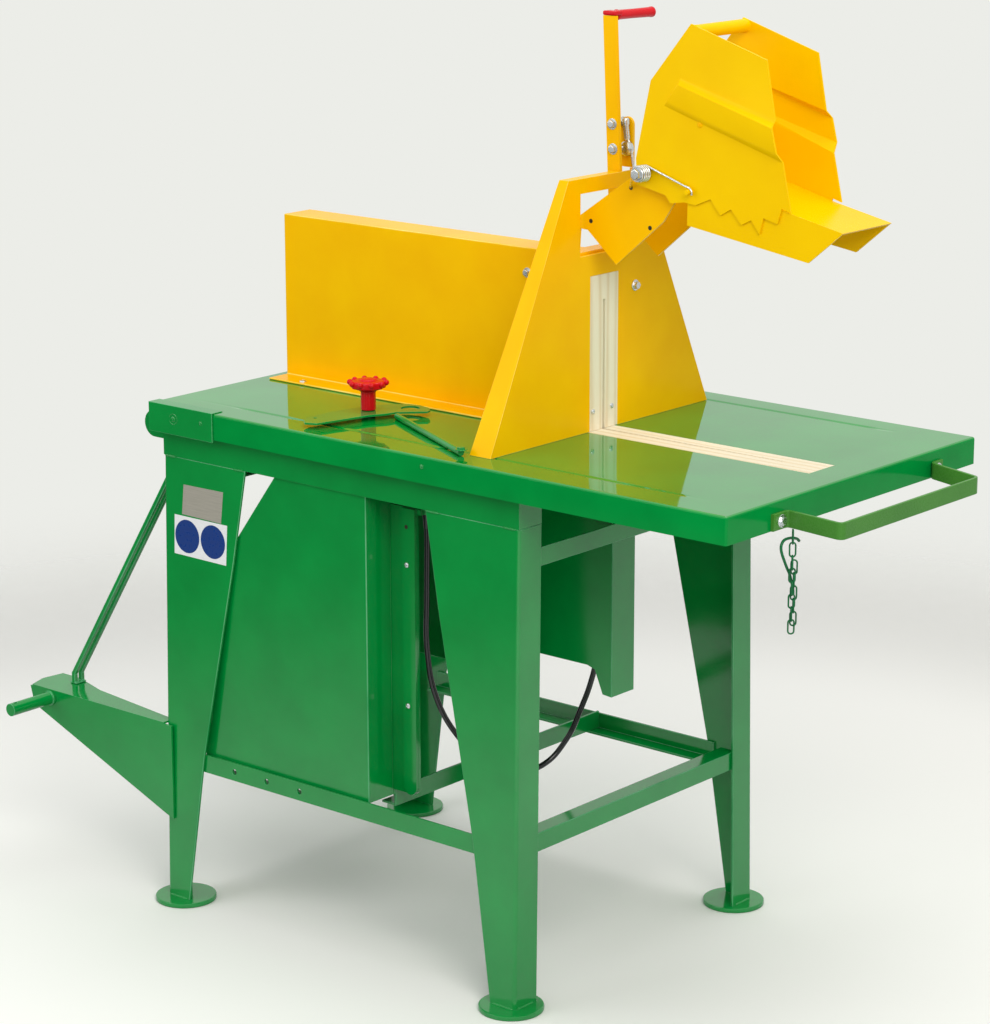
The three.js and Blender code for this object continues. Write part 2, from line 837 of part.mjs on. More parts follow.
const beltFace = pulleyFace - (pulleyWidth - beltWidth) / 2;
add("drive_belt", rubber, cut(
  slab("xz", beltOutline(beltThickness), beltFace - beltWidth, beltFace),
  slab("xz", beltOutline(2 * gap), beltFace - beltWidth - overrun, beltFace + overrun),
));

// Lower blade guard: four walls round the blade, open above and below
function lowerGuard() {
  const points = [
    [guardBack, guardTop], [guardBack, guardTongue], [-guardDeepX, guardDeep], [guardDeepEnd, guardDeep],
    [guardDeepX, guardLip], [guardCurveX, guardLip], [guardShoulderX, guardLip - sheet - slack],
    [guardTongueX, guardTongue + slack], [guardFront, guardTongue], [guardFront, guardTop],
  ];
  const walls = cut(
    slab("xz", points, guardLeft, guardRight),
    block(guardBack + sheet, guardFront - sheet, guardLeft + sheet, guardRight - sheet,
      guardDeep - overrun, guardTop + overrun),
  );
  const clip = block(cableEndX - clipRadius, cableEndX + clipRadius, guardLeft + sheet - gap,
    cableEndY + clipRadius, cableEndZ + gap, cableEndZ + gap + clipHeight);
  return cut(
    join(walls, clip),
    rod("y", arborRadius + slack, guardLeft - overrun, guardLeft + sheet + overrun, bladeX, bladeZ),
  );
}

add("lower_blade_guard", green, lowerGuard());

// Control cable: hangs in a loop from the back plate's clip to the guard's clip
const cableRoute = [
  [cableX, cableY, cableTopZ],
  [126, -215, 718],
  [126, -215, 680],
  [125, -215, 600],
  [124, -214, 510],
  [136, -208, 436],
  [160, -186, 372],
  [186, -146, 322],
  [206, -96, 298],
  [220, -44, 300],
  [236, -10, 334],
  [258, 3, 392],
  [276, 5, 440],
  [283, 5, 468],
  [cableEndX, cableEndY, cableEndZ],
];

function cable() {
  const points = cableRoute.map((point) => new THREE.Vector3(...point));
  const curve = new THREE.CatmullRomCurve3(points, false, "centripetal");
  const section = new THREE.Shape(arc(0, 0, cableRadius, 0, 360 - 360 / cableSides, cableSides - 1)
    .map(([u, v]) => new THREE.Vector2(u, v)));
  console.log("control cable length", Math.round(curve.getLength()), "mm");
  return new THREE.ExtrudeGeometry(section, { steps: cableSteps, extrudePath: curve, bevelEnabled: false });
}

add("control_cable", rubber, cable());

// Hitch: gusset with a shelf, a lower link pin and a twin-bar brace on each side
const gussetShares = [[0, 1], [0.025, 0.806], [0.95, 0.037], [1, 0], [1, 1]];
const shelfShares = [
  [0.036, 0], [0, 0.45], [0.015, 1], [0.146, 1], [0.376, 0.68], [0.94, 0.34], [1, 0.32], [1, 0],
];
const gussetInner = legY(gussetFoot) + gap;
const gussetOuter = gussetInner + legSheet;
const shelfEnd = -legX(gussetTop - gap) - gap;

function gusset(side) {
  const face = side * gussetOuter;
  const inner = side * gussetInner;
  const web = slab("xz", outline(gussetShares, gussetEnd - gussetTip, gussetTop - gussetFoot,
    gussetTip, gussetFoot), Math.min(face, inner), Math.max(face, inner));
  const shelf = slab("xy", outline(shelfShares, shelfEnd - shelfTip, -side * shelfDepth, shelfTip, face),
    gussetTop - gap, gussetTop + sheet);
  return cut(join(web, shelf), rod("y", hitchPinRadius + gap, Math.min(face, inner) - overrun,
    Math.max(face, inner) + overrun, hitchX, hitchZ));
}

function hitchPin(side) {
  const near = side * (gussetInner - hitchCollar);
  const collar = side * (gussetOuter + gap);
  const bar = join(
    rod("y", hitchPinRadius, Math.min(near, side * hitchPinEnd), Math.max(near, side * hitchPinEnd),
      hitchX, hitchZ),
    rod("y", hitchCollar, Math.min(collar, collar + side * hitchCollarDepth),
      Math.max(collar, collar + side * hitchCollarDepth), hitchX, hitchZ),
  );
  return cut(bar, rod("z", hitchPinRadius / 3, hitchZ - hitchPinRadius - overrun,
    hitchZ + hitchPinRadius + overrun, hitchX, side * (hitchPinEnd - hitchPinRadius), 12));
}

function brace(side) {
  const foot = gussetTop + sheet + gap;
  const knee = foot + braceKnee;
  const topX = -legX(braceTopZ) - gap;
  const half = braceWidth / 2;
  const angle = Math.atan2(braceTopZ - knee, topX - braceFootX);
  const mitre = half * (1 - Math.sin(angle)) / Math.cos(angle);
  const rise = half / Math.cos(angle);
  const middleY = side * braceY;
  const bars = [-1, 1].map((which) => {
    const y = middleY + which * (braceSpread - braceWidth) / 2;
    return slab("xz", [
      [braceFootX - half, foot], [braceFootX + half, foot], [braceFootX + half, knee - mitre],
      [topX, braceTopZ - rise], [topX, braceTopZ + rise], [braceFootX - half, knee + mitre],
    ], y - half, y + half);
  });
  const web = block(braceFootX - braceWidth, braceFootX + braceWidth, middleY - braceSpread / 2,
    middleY + braceSpread / 2, foot, foot + sheet);
  return join(...bars, web);
}

for (const [sideName, side] of Object.entries(sides)) {
  add(`hitch_gusset_${sideName}`, green, gusset(side));
  add(`hitch_pin_${sideName}`, green, hitchPin(side));
  add(`hitch_brace_${sideName}`, green, brace(side));
}

// Rollers under the sliding table, each with its own pin through the side rail
function roller(x, side) {
  const face = side * (legHalfY + gap + slack);
  const pinEnd = side * (legHalfY - legSheet - gap - slack);
  const nut = side * (legHalfY - legSheet - gap - slack - rollerPin);
  return join(
    rod("y", rollerRadius, Math.min(face, face + side * rollerWidth),
      Math.max(face, face + side * rollerWidth), x, rollerZ, 32),
    rod("y", rollerPin, Math.min(face, pinEnd), Math.max(face, pinEnd), x, rollerZ, 16),
    rod("y", rollerPin + slack, Math.min(nut, pinEnd + side * slack), Math.max(nut, pinEnd + side * slack),
      x, rollerZ, 6),
  );
}

for (const [endName, end] of Object.entries(ends)) {
  for (const [sideName, side] of Object.entries(sides)) {
    const x = end < 0 ? -rollerX : rollerX - rollerInset;
    add(`roller_${endName}_${sideName}`, steel, roller(x, side));
  }
}

// Sliding table: a tray with two runners and a ledge round the wood strip
const tableUnder = tableTop - sheet;
const stripLeft = stripY - stripHalf;
const stripRight = stripY + stripHalf;

function table() {
  const tray = cut(
    block(tableBack, tableFront, tableLeft, tableRight, tableTop - apron, tableTop),
    block(tableBack - overrun, tableFront - sheet, tableLeft + sheet, tableRight - sheet,
      tableTop - apron - overrun, tableUnder),
  );
  const runners = [-1, 1].map((side) => {
    const inner = side * (legHalfY + gap + slack);
    const outer = inner + side * runnerWidth;
    return block(tableBack + sheet, tableFront - sheet + gap, Math.min(inner, outer),
      Math.max(inner, outer), rollerZ + rollerRadius + gap, tableUnder + gap);
  });
  const ledge = block(stripBack - gap - sheet, stripFront + gap + sheet, stripLeft - gap - sheet,
    stripRight + gap + sheet, tableTop - stripThickness - sheet - gap, tableUnder + gap);
  const pocket = block(stripBack - gap, stripFront + gap, stripLeft - gap, stripRight + gap,
    tableTop - stripThickness - gap, tableTop + overrun);
  const floor = block(stripBack + stripLedge, stripFront - stripLedge, stripLeft + stripLedge,
    stripRight - stripLedge, tableTop - apron, tableTop);
  return cut(join(tray, ...runners, ledge), pocket, floor);
}

add("table_top", green, table());

add("corner_cap", green, slab("yz", [
  [tableLeft - gap - capThickness, tableTop - capDrop],
  [tableLeft - gap, tableTop - capDrop],
  [tableLeft - gap, tableTop + gap],
  [tableLeft + capLip, tableTop + gap],
  [tableLeft + capLip, tableTop + gap + capThickness / 2],
  [tableLeft - gap - capThickness, tableTop + gap + capThickness / 2],
], tableBack, tableBack + capLength));

add("wood_strip", wood, cut(
  block(stripBack, stripFront, stripLeft, stripRight, tableTop - stripThickness, tableTop),
  block(bladeX - bladeRadius, bladeX + bladeRadius + travel, bladeY - slitHalf, bladeY + slitHalf,
    tableTop - stripThickness - overrun, tableTop + overrun),
));

// Box guard: a hat section over the blade's upper part, closed at the back
const onTable = tableTop + gap;
add("box_guard", yellow, cut(
  join(
    block(boxBack, boxFront, boxLeft, boxRight, onTable, boxTop),
    block(boxBack, boxFront, boxFlangeLeft, boxFlangeRight, onTable, onTable + sheet),
  ),
  block(boxBack + sheet, boxFront + overrun, boxLeft + sheet, boxRight - sheet,
    onTable - overrun, boxTop - sheet),
));

// Fence: a trapezoid sheet with folded edges, a window for the hood arm and a gap for the insert
function fenceOutline(inset) {
  const topHalf = fenceTopHalf - (fenceTop - fenceShoulder) / 2;
  return [
    [fenceY - fenceFootHalf + inset, onTable], [fenceY + fenceFootHalf - inset, onTable],
    [fenceY + fenceTopHalf - inset, fenceShoulder], [fenceY + topHalf - inset, fenceTop - inset],
    [fenceY - topHalf + inset, fenceTop - inset], [fenceY - fenceTopHalf + inset, fenceShoulder],
  ];
}

function fence() {
  const back = fenceFront - fenceDepthFoot;
  const inner = fenceOutline(sheet).map(([y, z]) => [y, z === onTable ? z - overrun : z]);
  const folded = cut(
    slab("yz", fenceOutline(0), back, fenceFront),
    slab("yz", inner, back - overrun, fenceFront - sheet),
    slab("xz", [
      [back - overrun, onTable], [back, onTable], [fenceFront - fenceDepthTop, fenceTop],
      [fenceFront - fenceDepthTop, fenceTop + overrun], [back - overrun, fenceTop + overrun],
    ], tableLeft, tableRight),
    block(fenceFront - sheet - overrun, fenceFront + overrun, windowLeft, windowRight,
      windowBottom, windowTop),
    block(back - overrun, fenceFront + overrun, insertLeft - gap, insertRight + gap,
      onTable - overrun, insertTop + gap),
    block(back - overrun, fenceFront - sheet, notchLeft, notchRight, fenceTop - sheet - overrun,
      fenceTop + overrun),
  );
  const shelf = block(back, fenceFront - gap, windowLeft, windowRight, windowBottom + gap,
    windowBottom + gap + sheet);
  const lip = block(fenceFront - sheet, fenceFront, windowLeft - sheet, windowRight + sheet,
    windowBottom - sheet, windowBottom + sheet + gap);
  return join(folded, shelf, lip);
}

add("fence", yellow, fence());

add("fence_insert", wood, cut(
  block(boxFront + gap, fenceFront, insertLeft, insertRight, onTable, insertTop),
  block(boxFront - overrun, fenceFront + overrun, bladeY - slitHalf, bladeY + slitHalf,
    onTable - overrun, insertSlitTop),
));

// Hood arm: two side plates on a foot that stands on the window's shelf
const armFootZ = windowBottom + gap + sheet + gap;
const armShares = [
  [-0.831, -0.548], [-0.813, -0.671], [-0.723, -0.678], [-0.392, -1], [0.136, -0.493],
  [0.265, -0.277], [0.235, -0.03], [0.12, 0.13], [0.036, 0.144], [-0.196, -0.055],
];

function armPlate(y) {
  const upper = outline(armShares, armReach, armDrop, pivotX, pivotZ);
  const [topBack, lowBack, ...rest] = upper;
  const points = [
    [armFootX, armFootZ], [armFootX + armFootDepth, armFootZ], lowBack, ...rest, topBack,
    [armFootX, topBack[1]],
  ];
  return slab("xz", points, y - armThickness / 2, y + armThickness / 2);
}

add("hood_arm", yellow, cut(
  join(
    armPlate(armLeft), armPlate(armRight),
    block(armFootX, armFootX + armFootDepth, armLeft, armRight, armFootZ, armFootZ + armThickness),
  ),
  rod("y", pivotRadius + gap, hoodLeft - overrun, hoodRight + overrun, pivotX, pivotZ),
  rod("y", leverPin + gap, leverY, armRight + overrun, leverX, leverZ),
));

// Pivot bolt with its spacers and the bush that the spring sits on
const springSweep = 360 * springTurns + springStart - springEnd;
const springFirst = hoodLeft - gap - springWire - slack / 2;
const springLast = springFirst - springPitch * springSweep / 360;
const boltLeft = springLast - springWire - gap;
add("hood_pivot_bolt", steel, join(
  rod("y", pivotRadius, boltLeft - pivotHeadThickness, hoodRight + pivotHeadThickness, pivotX, pivotZ),
  rod("y", springBush, boltLeft, hoodLeft - gap, pivotX, pivotZ),
  rod("y", pivotHead, boltLeft - pivotHeadThickness, boltLeft, pivotX, pivotZ, 6),
  rod("y", pivotHead, hoodRight + gap, hoodRight + pivotHeadThickness, pivotX, pivotZ, 6),
  rod("y", spacerRadius, hoodLeft + sheet + gap, armLeft - armThickness / 2 - gap, pivotX, pivotZ),
  rod("y", spacerRadius, armRight + armThickness / 2 + gap, hoodRight - sheet - gap, pivotX, pivotZ),
));

// Hood cheeks: sheet with a toothed lower edge and a pressed band that runs out at the front edge
const cheekShares = [
  [0.298, 1], [0.022, 0.612], [-0.078, 0.086], [-0.065, -0.086], [0.135, -0.135], [0.169, -0.185],
  [0.269, -0.167], [0.346, -0.178], [0.45, -0.126], [0.519, -0.225], [0.592, -0.176], [0.665, -0.27],
  [0.731, -0.23], [0.788, -0.315], [0.813, -0.207], [0.908, -0.234], [0.935, -0.131], [0.996, -0.151],
  [0.938, 0.149], [0.877, 0.437], [0.815, 0.809],
];
const pinShares = [[0.315, -0.09]];
const barShares = [[0.312, 0.948]];
const bandShares = [[0.228, 0.643], [0.12, 0.455], [0.9346, 0.165], [0.877, 0.437]];
const bandTopShares = [[0.222, 0.6], [0.15, 0.49], [0.9208, 0.23], [0.888, 0.385]];
const bandPastShare = 1.04;

// One ring of the band: it stands off by one depth at its back end and by another at the front edge
function bandRing(points, back, front, pastShare = 1) {
  const [backTop, backBottom, frontBottom, frontTop] = points.map(([x, z], i) =>
    new THREE.Vector3(x, i < 2 ? back : front, z));
  const ends = [backBottom.clone().lerp(frontBottom, pastShare), backTop.clone().lerp(frontTop, pastShare)];
  return [backTop, backBottom, ...ends].map((point) => point.toArray());
}

function hoodCheek(outer, side) {
  const inner = outer - side * sheet;
  const low = Math.min(outer, inner);
  const high = Math.max(outer, inner);
  const base = outline(bandShares, hoodReach, hoodRise, pivotX, pivotZ);
  const crest = outline(bandTopShares, hoodReach, hoodRise, pivotX, pivotZ);
  const swell = loft([
    bandRing(base, inner, inner), bandRing(base, outer, outer),
    bandRing(crest, outer + side * bandBack, outer + side * bandHeight),
  ]);
  const hollow = loft([
    bandRing(base, inner - side * overrun, inner - side * overrun, bandPastShare),
    bandRing(base, inner, inner, bandPastShare),
    bandRing(crest, inner + side * bandBack, inner + side * bandHeight, bandPastShare),
  ]);
  const cheek = cut(
    join(slab("xz", outline(cheekShares, hoodReach, hoodRise, pivotX, pivotZ), low, high), swell),
    hollow,
    rod("y", pivotRadius + gap, low - overrun, high + overrun, pivotX, pivotZ),
  );
  if (side > 0) return cheek;
  const [pinX, pinZ] = outline(pinShares, hoodReach, hoodRise, pivotX, pivotZ)[0];
  return join(cheek, rod("y", hoodPinRadius, outer - hoodPinLength, outer + sheet / 2, pinX, pinZ, 16));
}

add("hood_cheek_left", yellow, hoodCheek(hoodLeft, -1));
add("hood_cheek_right", yellow, hoodCheek(hoodRight, 1));

const insideLeft = hoodLeft + sheet + gap;
const insideRight = hoodRight - sheet - gap;
const [barX, barZ] = outline(barShares, hoodReach, hoodRise, pivotX, pivotZ)[0];
add("hood_cross_bar", yellow, rod("y", crossBarRadius, insideLeft, insideRight, barX, barZ));

// Hood channel: an upturned U that presses the wood down
const channelShares = [
  [0.211, -0.06], [0.208, -0.69], [0.823, -1], [0.989, -0.529], [0.715, -0.333], [0.484, -0.126],
];

function hoodChannel() {
  const points = outline(channelShares, channelReach, channelDrop, pivotX, pivotZ);
  const [topBack, lowBack, lowFront, tip, kneeFront, kneeBack] = points;
  const inner = [
    [topBack[0] - overrun, topBack[1] - sheet], [topBack[0] - overrun, lowFront[1] - overrun],
    [tip[0] + overrun, lowFront[1] - overrun], [tip[0] + overrun, tip[1] - sheet - channelFall],
    [tip[0], tip[1] - sheet], [kneeFront[0], kneeFront[1] - sheet], [kneeBack[0], kneeBack[1] - sheet],
    [topBack[0], topBack[1] - sheet],
  ];
  return cut(
    slab("xz", [topBack, lowBack, lowFront, tip, kneeFront, kneeBack], insideLeft, insideRight),
    slab("xz", inner, insideLeft + sheet, insideRight - sheet),
  );
}

add("hood_channel", yellow, hoodChannel());

// Torsion spring: one unbroken wire with a short leg and a long one that hooks over the cheek's pin
function springPath() {
  const count = Math.round(springSweep * springSteps / 360);
  const coil = Array.from({ length: count + 1 }, (_, i) => {
    const angle = THREE.MathUtils.degToRad(springStart - (springSweep * i) / count);
    return new THREE.Vector3(pivotX + springRadius * Math.cos(angle),
      springFirst + ((springLast - springFirst) * i) / count, pivotZ + springRadius * Math.sin(angle));
  });
  const [pinX, pinZ] = outline(pinShares, hoodReach, hoodRise, pivotX, pivotZ)[0];
  const pinY = hoodLeft - hoodPinLength / 2;
  const clear = hoodPinRadius + springWire + gap;
  const leg = coil[0].clone().sub(coil[1]).setY(0).setLength(springLeg);
  return [
    coil[0].clone().add(leg),
    ...coil,
    new THREE.Vector3(pinX - clear, pinY, pinZ + clear + springWire),
    new THREE.Vector3(pinX + hoodPinRadius / 2, pinY, pinZ + clear),
    new THREE.Vector3(pinX + clear, pinY, pinZ + hoodPinRadius / 2),
    new THREE.Vector3(pinX + clear, pinY, pinZ - hoodPinRadius),
  ];
}

function leastSelfGap(points, radius, apart) {
  let least = Infinity;
  for (let i = 0; i < points.length; i += 1) {
    for (let j = i + apart; j < points.length; j += 1) {
      least = Math.min(least, points[i].distanceTo(points[j]) - 2 * radius);
    }
  }
  return least;
}

const springPoints = springPath();
console.log("spring least self gap", leastSelfGap(springPoints, springWire, 3).toFixed(2), "mm");
add("hood_spring", steel, wire(springPoints, springWire, springSides));

// Hand lever: a flat bar that turns on a pin through the right arm plate
function leverPoint(z) {
  return leverX + ((leverTopX - leverX) * (z - leverZ)) / (leverTopZ - leverZ);
}

function leverBar() {
  const half = leverWidth / 2;
  const bar = slab("xz", [
    ...arc(leverX, leverZ, half, 180, 360, 8),
    [leverTopX + half, leverTopZ], [leverTopX - half, leverTopZ],
  ], leverY - leverThickness / 2, leverY + leverThickness / 2);
  const holes = [clampUpperZ, clampLowerZ].map((z) => rod("y", clampRadius / 2 + gap,
    leverY - overrun, leverY + overrun, leverPoint(z), z, 16));
  return join(
    cut(bar, ...holes),
    rod("y", leverPin, leverY, armRight + armThickness / 2 + leverPin, leverX, leverZ),
    rod("y", leverPin + slack, armRight + armThickness / 2 + gap, armRight + armThickness / 2 + leverPin,
      leverX, leverZ, 6),
  );
}

add("lever_bar", yellow, leverBar());

const sidePlateLeft = sidePlateY - sidePlateThickness / 2;
const sidePlateRight = sidePlateY + sidePlateThickness / 2;
const sidePlateX = leverPoint(clampLowerZ) + leverWidth / 3;

add("lever_side_plate", yellow, cut(
  slab("xz", [
    [sidePlateX - leverWidth / 2, sidePlateBottom], [sidePlateX + leverWidth / 2, sidePlateBottom],
    ...arc(sidePlateX, sidePlateTop - leverWidth / 2, leverWidth / 2, 0, 180, 8),
  ], sidePlateLeft, sidePlateRight),
  ...[clampUpperZ, clampLowerZ].map((z) => rod("y", clampRadius / 2 + gap, sidePlateLeft - overrun,
    sidePlateRight + overrun, leverPoint(z), z, 16)),
));

// Two bolts join the bar and the side plate, and a block between them clamps the wire
function cableClamp() {
  const barLeft = leverY - leverThickness / 2;
  const barRight = leverY + leverThickness / 2;
  const bolts = [clampUpperZ, clampLowerZ].map((z) => join(
    rod("y", clampRadius / 2, barLeft - clampRadius, sidePlateRight + clampRadius, leverPoint(z), z, 16),
    rod("y", clampRadius, barLeft - clampRadius, barLeft - gap, leverPoint(z), z, 6),
    rod("y", clampRadius, barRight + gap, sidePlateLeft - gap, leverPoint(z), z, 16),
    rod("y", clampRadius, sidePlateRight + gap, sidePlateRight + clampRadius, leverPoint(z), z, 6),
  ));
  const x = leverPoint(clampLowerZ);
  const y = (barRight + sidePlateLeft) / 2;
  const core = block(x - clampRadius / 2, x + clampRadius / 2, y - clampRadius / 2, y + clampRadius / 2,
    clampLowerZ, clampUpperZ);
  const lead = rod("z", wireRadius, fenceTop + gap, clampLowerZ, x, y, 10);
  return join(...bolts, core, lead);
}

add("lever_cable_clamp", steel, cableClamp());

function leverGrip() {
  const hubHalf = leverWidth / 2;
  const sleeve = new THREE.CylinderGeometry(gripRadius, gripRadius, gripEnd - gripMiddle, 20)
    .translate(0, (gripEnd - gripMiddle) / 2, 0)
    .rotateX(THREE.MathUtils.degToRad(-gripDroop))
    .translate(leverTopX, gripMiddle, leverTopZ);
  return join(
    block(leverTopX - hubHalf, leverTopX + hubHalf, gripLeft, gripMiddle + slack, leverTopZ + gap,
      leverTopZ + gap + gripHub),
    sleeve,
  );
}

add("lever_grip", red, leverGrip());

// Spoon plate on the table, its clamp knob and the stay rod
const spoonShares = [
  [-0.2, -1.03], [-0.158, -1.2], [-0.074, -1.354], [0.021, -1.271], [0.135, -0.291], [0.205, -0.031],
  [0.232, 0.167], [0.415, 0.534], [0.395, 0.646], [0.326, 0.76], [0.21, 0.812], [0.105, 0.76], [0, 0.573],
  [-0.105, 0.24], [-0.179, -0.385],
];
const spoonEyeShares = [[0.217, 0.548]];
const spoonHoleShares = [[-0.127, -0.996]];

function spoonHoles(shares, radius) {
  return outline(shares, spoonWidth, spoonDepth, knobX, knobY).map(([x, y]) =>
    rod("z", radius, spoonZ - overrun / 2, spoonZ + sheet + overrun, x, y));
}

add("spoon_plate", green, cut(
  join(
    slab("xy", outline(spoonShares, spoonWidth, spoonDepth, knobX, knobY), spoonZ, spoonZ + sheet),
    rod("z", spoonBoss, onTable, spoonZ + gap, knobX, knobY),
  ),
  rod("z", studRadius + gap, onTable + sheet, spoonZ + sheet + overrun, knobX, knobY),
  ...spoonHoles(spoonEyeShares, spoonEye),
  ...spoonHoles(spoonHoleShares, studRadius / 2),
));

function knob() {
  const lobes = Array.from({ length: knobLobes }, (_, i) => {
    const angle = (2 * Math.PI * i) / knobLobes;
    return rod("z", knobLobe, knobStemTop, knobTop - slack, knobX + knobRadius * Math.cos(angle),
      knobY + knobRadius * Math.sin(angle), 12);
  });
  return join(
    rod("z", knobStem, spoonZ + sheet + gap, knobStemTop + slack, knobX, knobY),
    rod("z", knobRadius, knobStemTop, knobTop, knobX, knobY, 40),
    rod("z", studRadius, onTable + sheet + gap, spoonZ + sheet + slack, knobX, knobY),
    ...lobes,
  );
}

add("clamp_knob", red, knob());

function stayRod() {
  const z = onTable + rodRadius;
  const start = [rodStartX, rodStartY, z];
  const end = [rodEndX, rodEndY, z];
  return join(
    wire([start, end], rodRadius, 16),
    rod("z", rodBolt, onTable, onTable + 2 * rodRadius + slack, rodEndX, rodEndY, 6),
  );
}

add("stay_rod", green, stayRod());

// Push handle: a bent flat bar on the front apron
function handle() {
  const near = tableFront + gap;
  const far = near + handleReach;
  const run = [
    [near, handleTabLeft], [near, handleArmLeft], [far, handleCornerLeft], [far, handleCornerRight],
    [near, handleArmRight], [near, handleTabRight],
  ];
  const outer = [
    [near + handleBar, handleTabRight], [near + handleBar, handleArmRight + handleBar],
    [far + handleBar, handleCornerRight + handleBar / 2],
    [far + handleBar, handleCornerLeft - handleBar / 2],
    [near + 2 * handleBar, handleArmLeft - handleBar], [near + handleBar, handleArmLeft - handleBar],
    [near + handleBar, handleTabLeft],
  ];
  const boltY = (handleTabLeft + handleArmLeft) / 2;
  return join(
    slab("xy", [...run, ...outer], handleBottom, handleBottom + handleHeight),
    rod("x", handleBoltRadius, near + handleBar - gap, near + handleBar + handleBoltHead, boltY,
      handleBottom + handleHeight / 2, 6),
  );
}

add("push_handle", olive, handle());

// Chain and hook below the handle's left arm: the chain is a slim strand that doubles back below
const chainTop = handleBottom - gap;

function chain() {
  const half = chainWidth / 2;
  const bottom = chainTop - chainLength;
  const neck = chainTop - chainWidth;
  return join(
    new THREE.CylinderGeometry(chainTip, half / 2, chainWidth, 8).rotateX(Math.PI / 2)
      .translate(chainX, chainY, chainTop - half),
    rod("z", half / 2, chainTop - chainFold - gap, neck + gap, chainX, chainY, 8),
    block(chainX - half, chainX + half, chainY - half, chainY + half, bottom, chainTop - chainFold),
  );
}

add("chain", green, chain());

const hookShares = [
  [0.85, -0.246], [0.647, -0.2], [0.181, -0.162], [-0.275, -0.16], [-0.478, -0.203], [-0.534, -0.265],
  [-0.431, -0.364], [-0.066, -0.568], [0.184, -0.692], [0.44, -0.9], [0.469, -1],
];

function hook() {
  const x = chainX - chainWidth / 2 - hookWire - gap;
  const route = outline(hookShares, hookSpan, hookFall, chainY, chainTop);
  return wire(route.map(([y, z]) => [x, y, z]), hookWire, 8);
}

add("hook", green, hook());

export default model;
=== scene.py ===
import json
import math

import bmesh
import bpy
import numpy as np
from mathutils import Matrix, Vector


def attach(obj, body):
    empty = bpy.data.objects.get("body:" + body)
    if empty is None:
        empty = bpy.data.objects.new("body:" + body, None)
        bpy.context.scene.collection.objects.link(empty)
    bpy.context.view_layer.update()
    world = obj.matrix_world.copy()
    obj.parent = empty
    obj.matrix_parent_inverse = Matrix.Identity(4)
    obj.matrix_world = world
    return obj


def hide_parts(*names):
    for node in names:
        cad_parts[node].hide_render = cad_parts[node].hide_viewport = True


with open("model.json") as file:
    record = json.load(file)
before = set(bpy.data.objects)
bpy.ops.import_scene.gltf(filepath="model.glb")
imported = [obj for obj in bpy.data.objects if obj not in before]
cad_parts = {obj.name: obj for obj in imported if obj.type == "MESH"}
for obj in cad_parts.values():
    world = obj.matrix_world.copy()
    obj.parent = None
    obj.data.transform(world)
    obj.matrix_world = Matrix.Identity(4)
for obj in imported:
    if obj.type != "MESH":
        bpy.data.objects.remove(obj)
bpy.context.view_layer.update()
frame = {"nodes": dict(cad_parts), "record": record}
nodes = frame["nodes"]
bodies = frame["record"]["behaviour"]["bodies"]
bodyOf = {node: body for body, members in bodies.items() for node in members}

drawing = {"middleX": 79.15, "metresPerUnit": 0.001}


def metres(points):
    # the drawing's x counts from the blade frame's middle, the model's from the middle of its length
    return (np.asarray(points, float) - [drawing["middleX"], 0, 0]) * drawing["metresPerUnit"]


# Camera: its place in the drawing's frame, its turns in degrees and its focal length in pixels
camera = {
    "place": (3214.723, -3673.367, 1926.349),
    "turn": 40.4739,
    "tilt": 14.4460,
    "roll": -0.1022,
    "focalPixels": 3115.98,
    "longSidePixels": 1024,
    "sensor": 36.0,
}


def makeCamera():
    # turned round the upright, then tilted down from level, then rolled round its own axis
    data = bpy.data.cameras.new("camera")
    data.sensor_width = camera["sensor"]
    data.lens = camera["focalPixels"] / camera["longSidePixels"] * camera["sensor"]
    view = bpy.data.objects.new("camera", data)
    bpy.context.scene.collection.objects.link(view)
    turned = (
        Matrix.Rotation(math.radians(camera["turn"]), 4, "Z")
        @ Matrix.Rotation(math.radians(90 - camera["tilt"]), 4, "X")
        @ Matrix.Rotation(math.radians(camera["roll"]), 4, "Z")
    )
    view.matrix_world = Matrix.Translation(Vector(metres(camera["place"]))) @ turned
    bpy.context.scene.camera = view


makeCamera()
print("camera set")


# Node helpers
def linear(hexColour):
    # the sRGB curve undone, channel by channel
    values = np.array([int(hexColour[i:i + 2], 16) for i in (1, 3, 5)]) / 255
    curved = ((values + 0.055) / 1.055) ** 2.4
    return (*np.where(values <= 0.04045, values / 12.92, curved).tolist(), 1.0)


def addNode(tree, kind, settings=None, links=None):
    # a key that is one of the node's sockets sets or feeds it, any other key is one of its properties
    node = tree.nodes.new(kind)
    for key, value in (settings or {}).items():
        if isinstance(key, int) or key in node.inputs:
            node.inputs[key].default_value = value
        else:
            setattr(node, key, value)
    for key, source in (links or {}).items():
        tree.links.new(source, node.inputs[key])
    return node


def newMaterial(name):
    # a principled shader on its output, and the object's own coordinates
    material = bpy.data.materials.new(name)
    material.use_nodes = True
    tree = material.node_tree
    tree.nodes.clear()
    shader = addNode(tree, "ShaderNodeBsdfPrincipled")
    addNode(tree, "ShaderNodeOutputMaterial", links={"Surface": shader.outputs["BSDF"]})
    place = addNode(tree, "ShaderNodeTexCoord").outputs["Object"]
    return material, tree, shader, place


def perMetre(size):
    # a texture's scale from the size of one of its features in millimetres
    return 1000 / size


# Most of a noise lies between these two, and a share stretches that part over nought to one
noiseRange = {"From Min": 0.3, "From Max": 0.7}


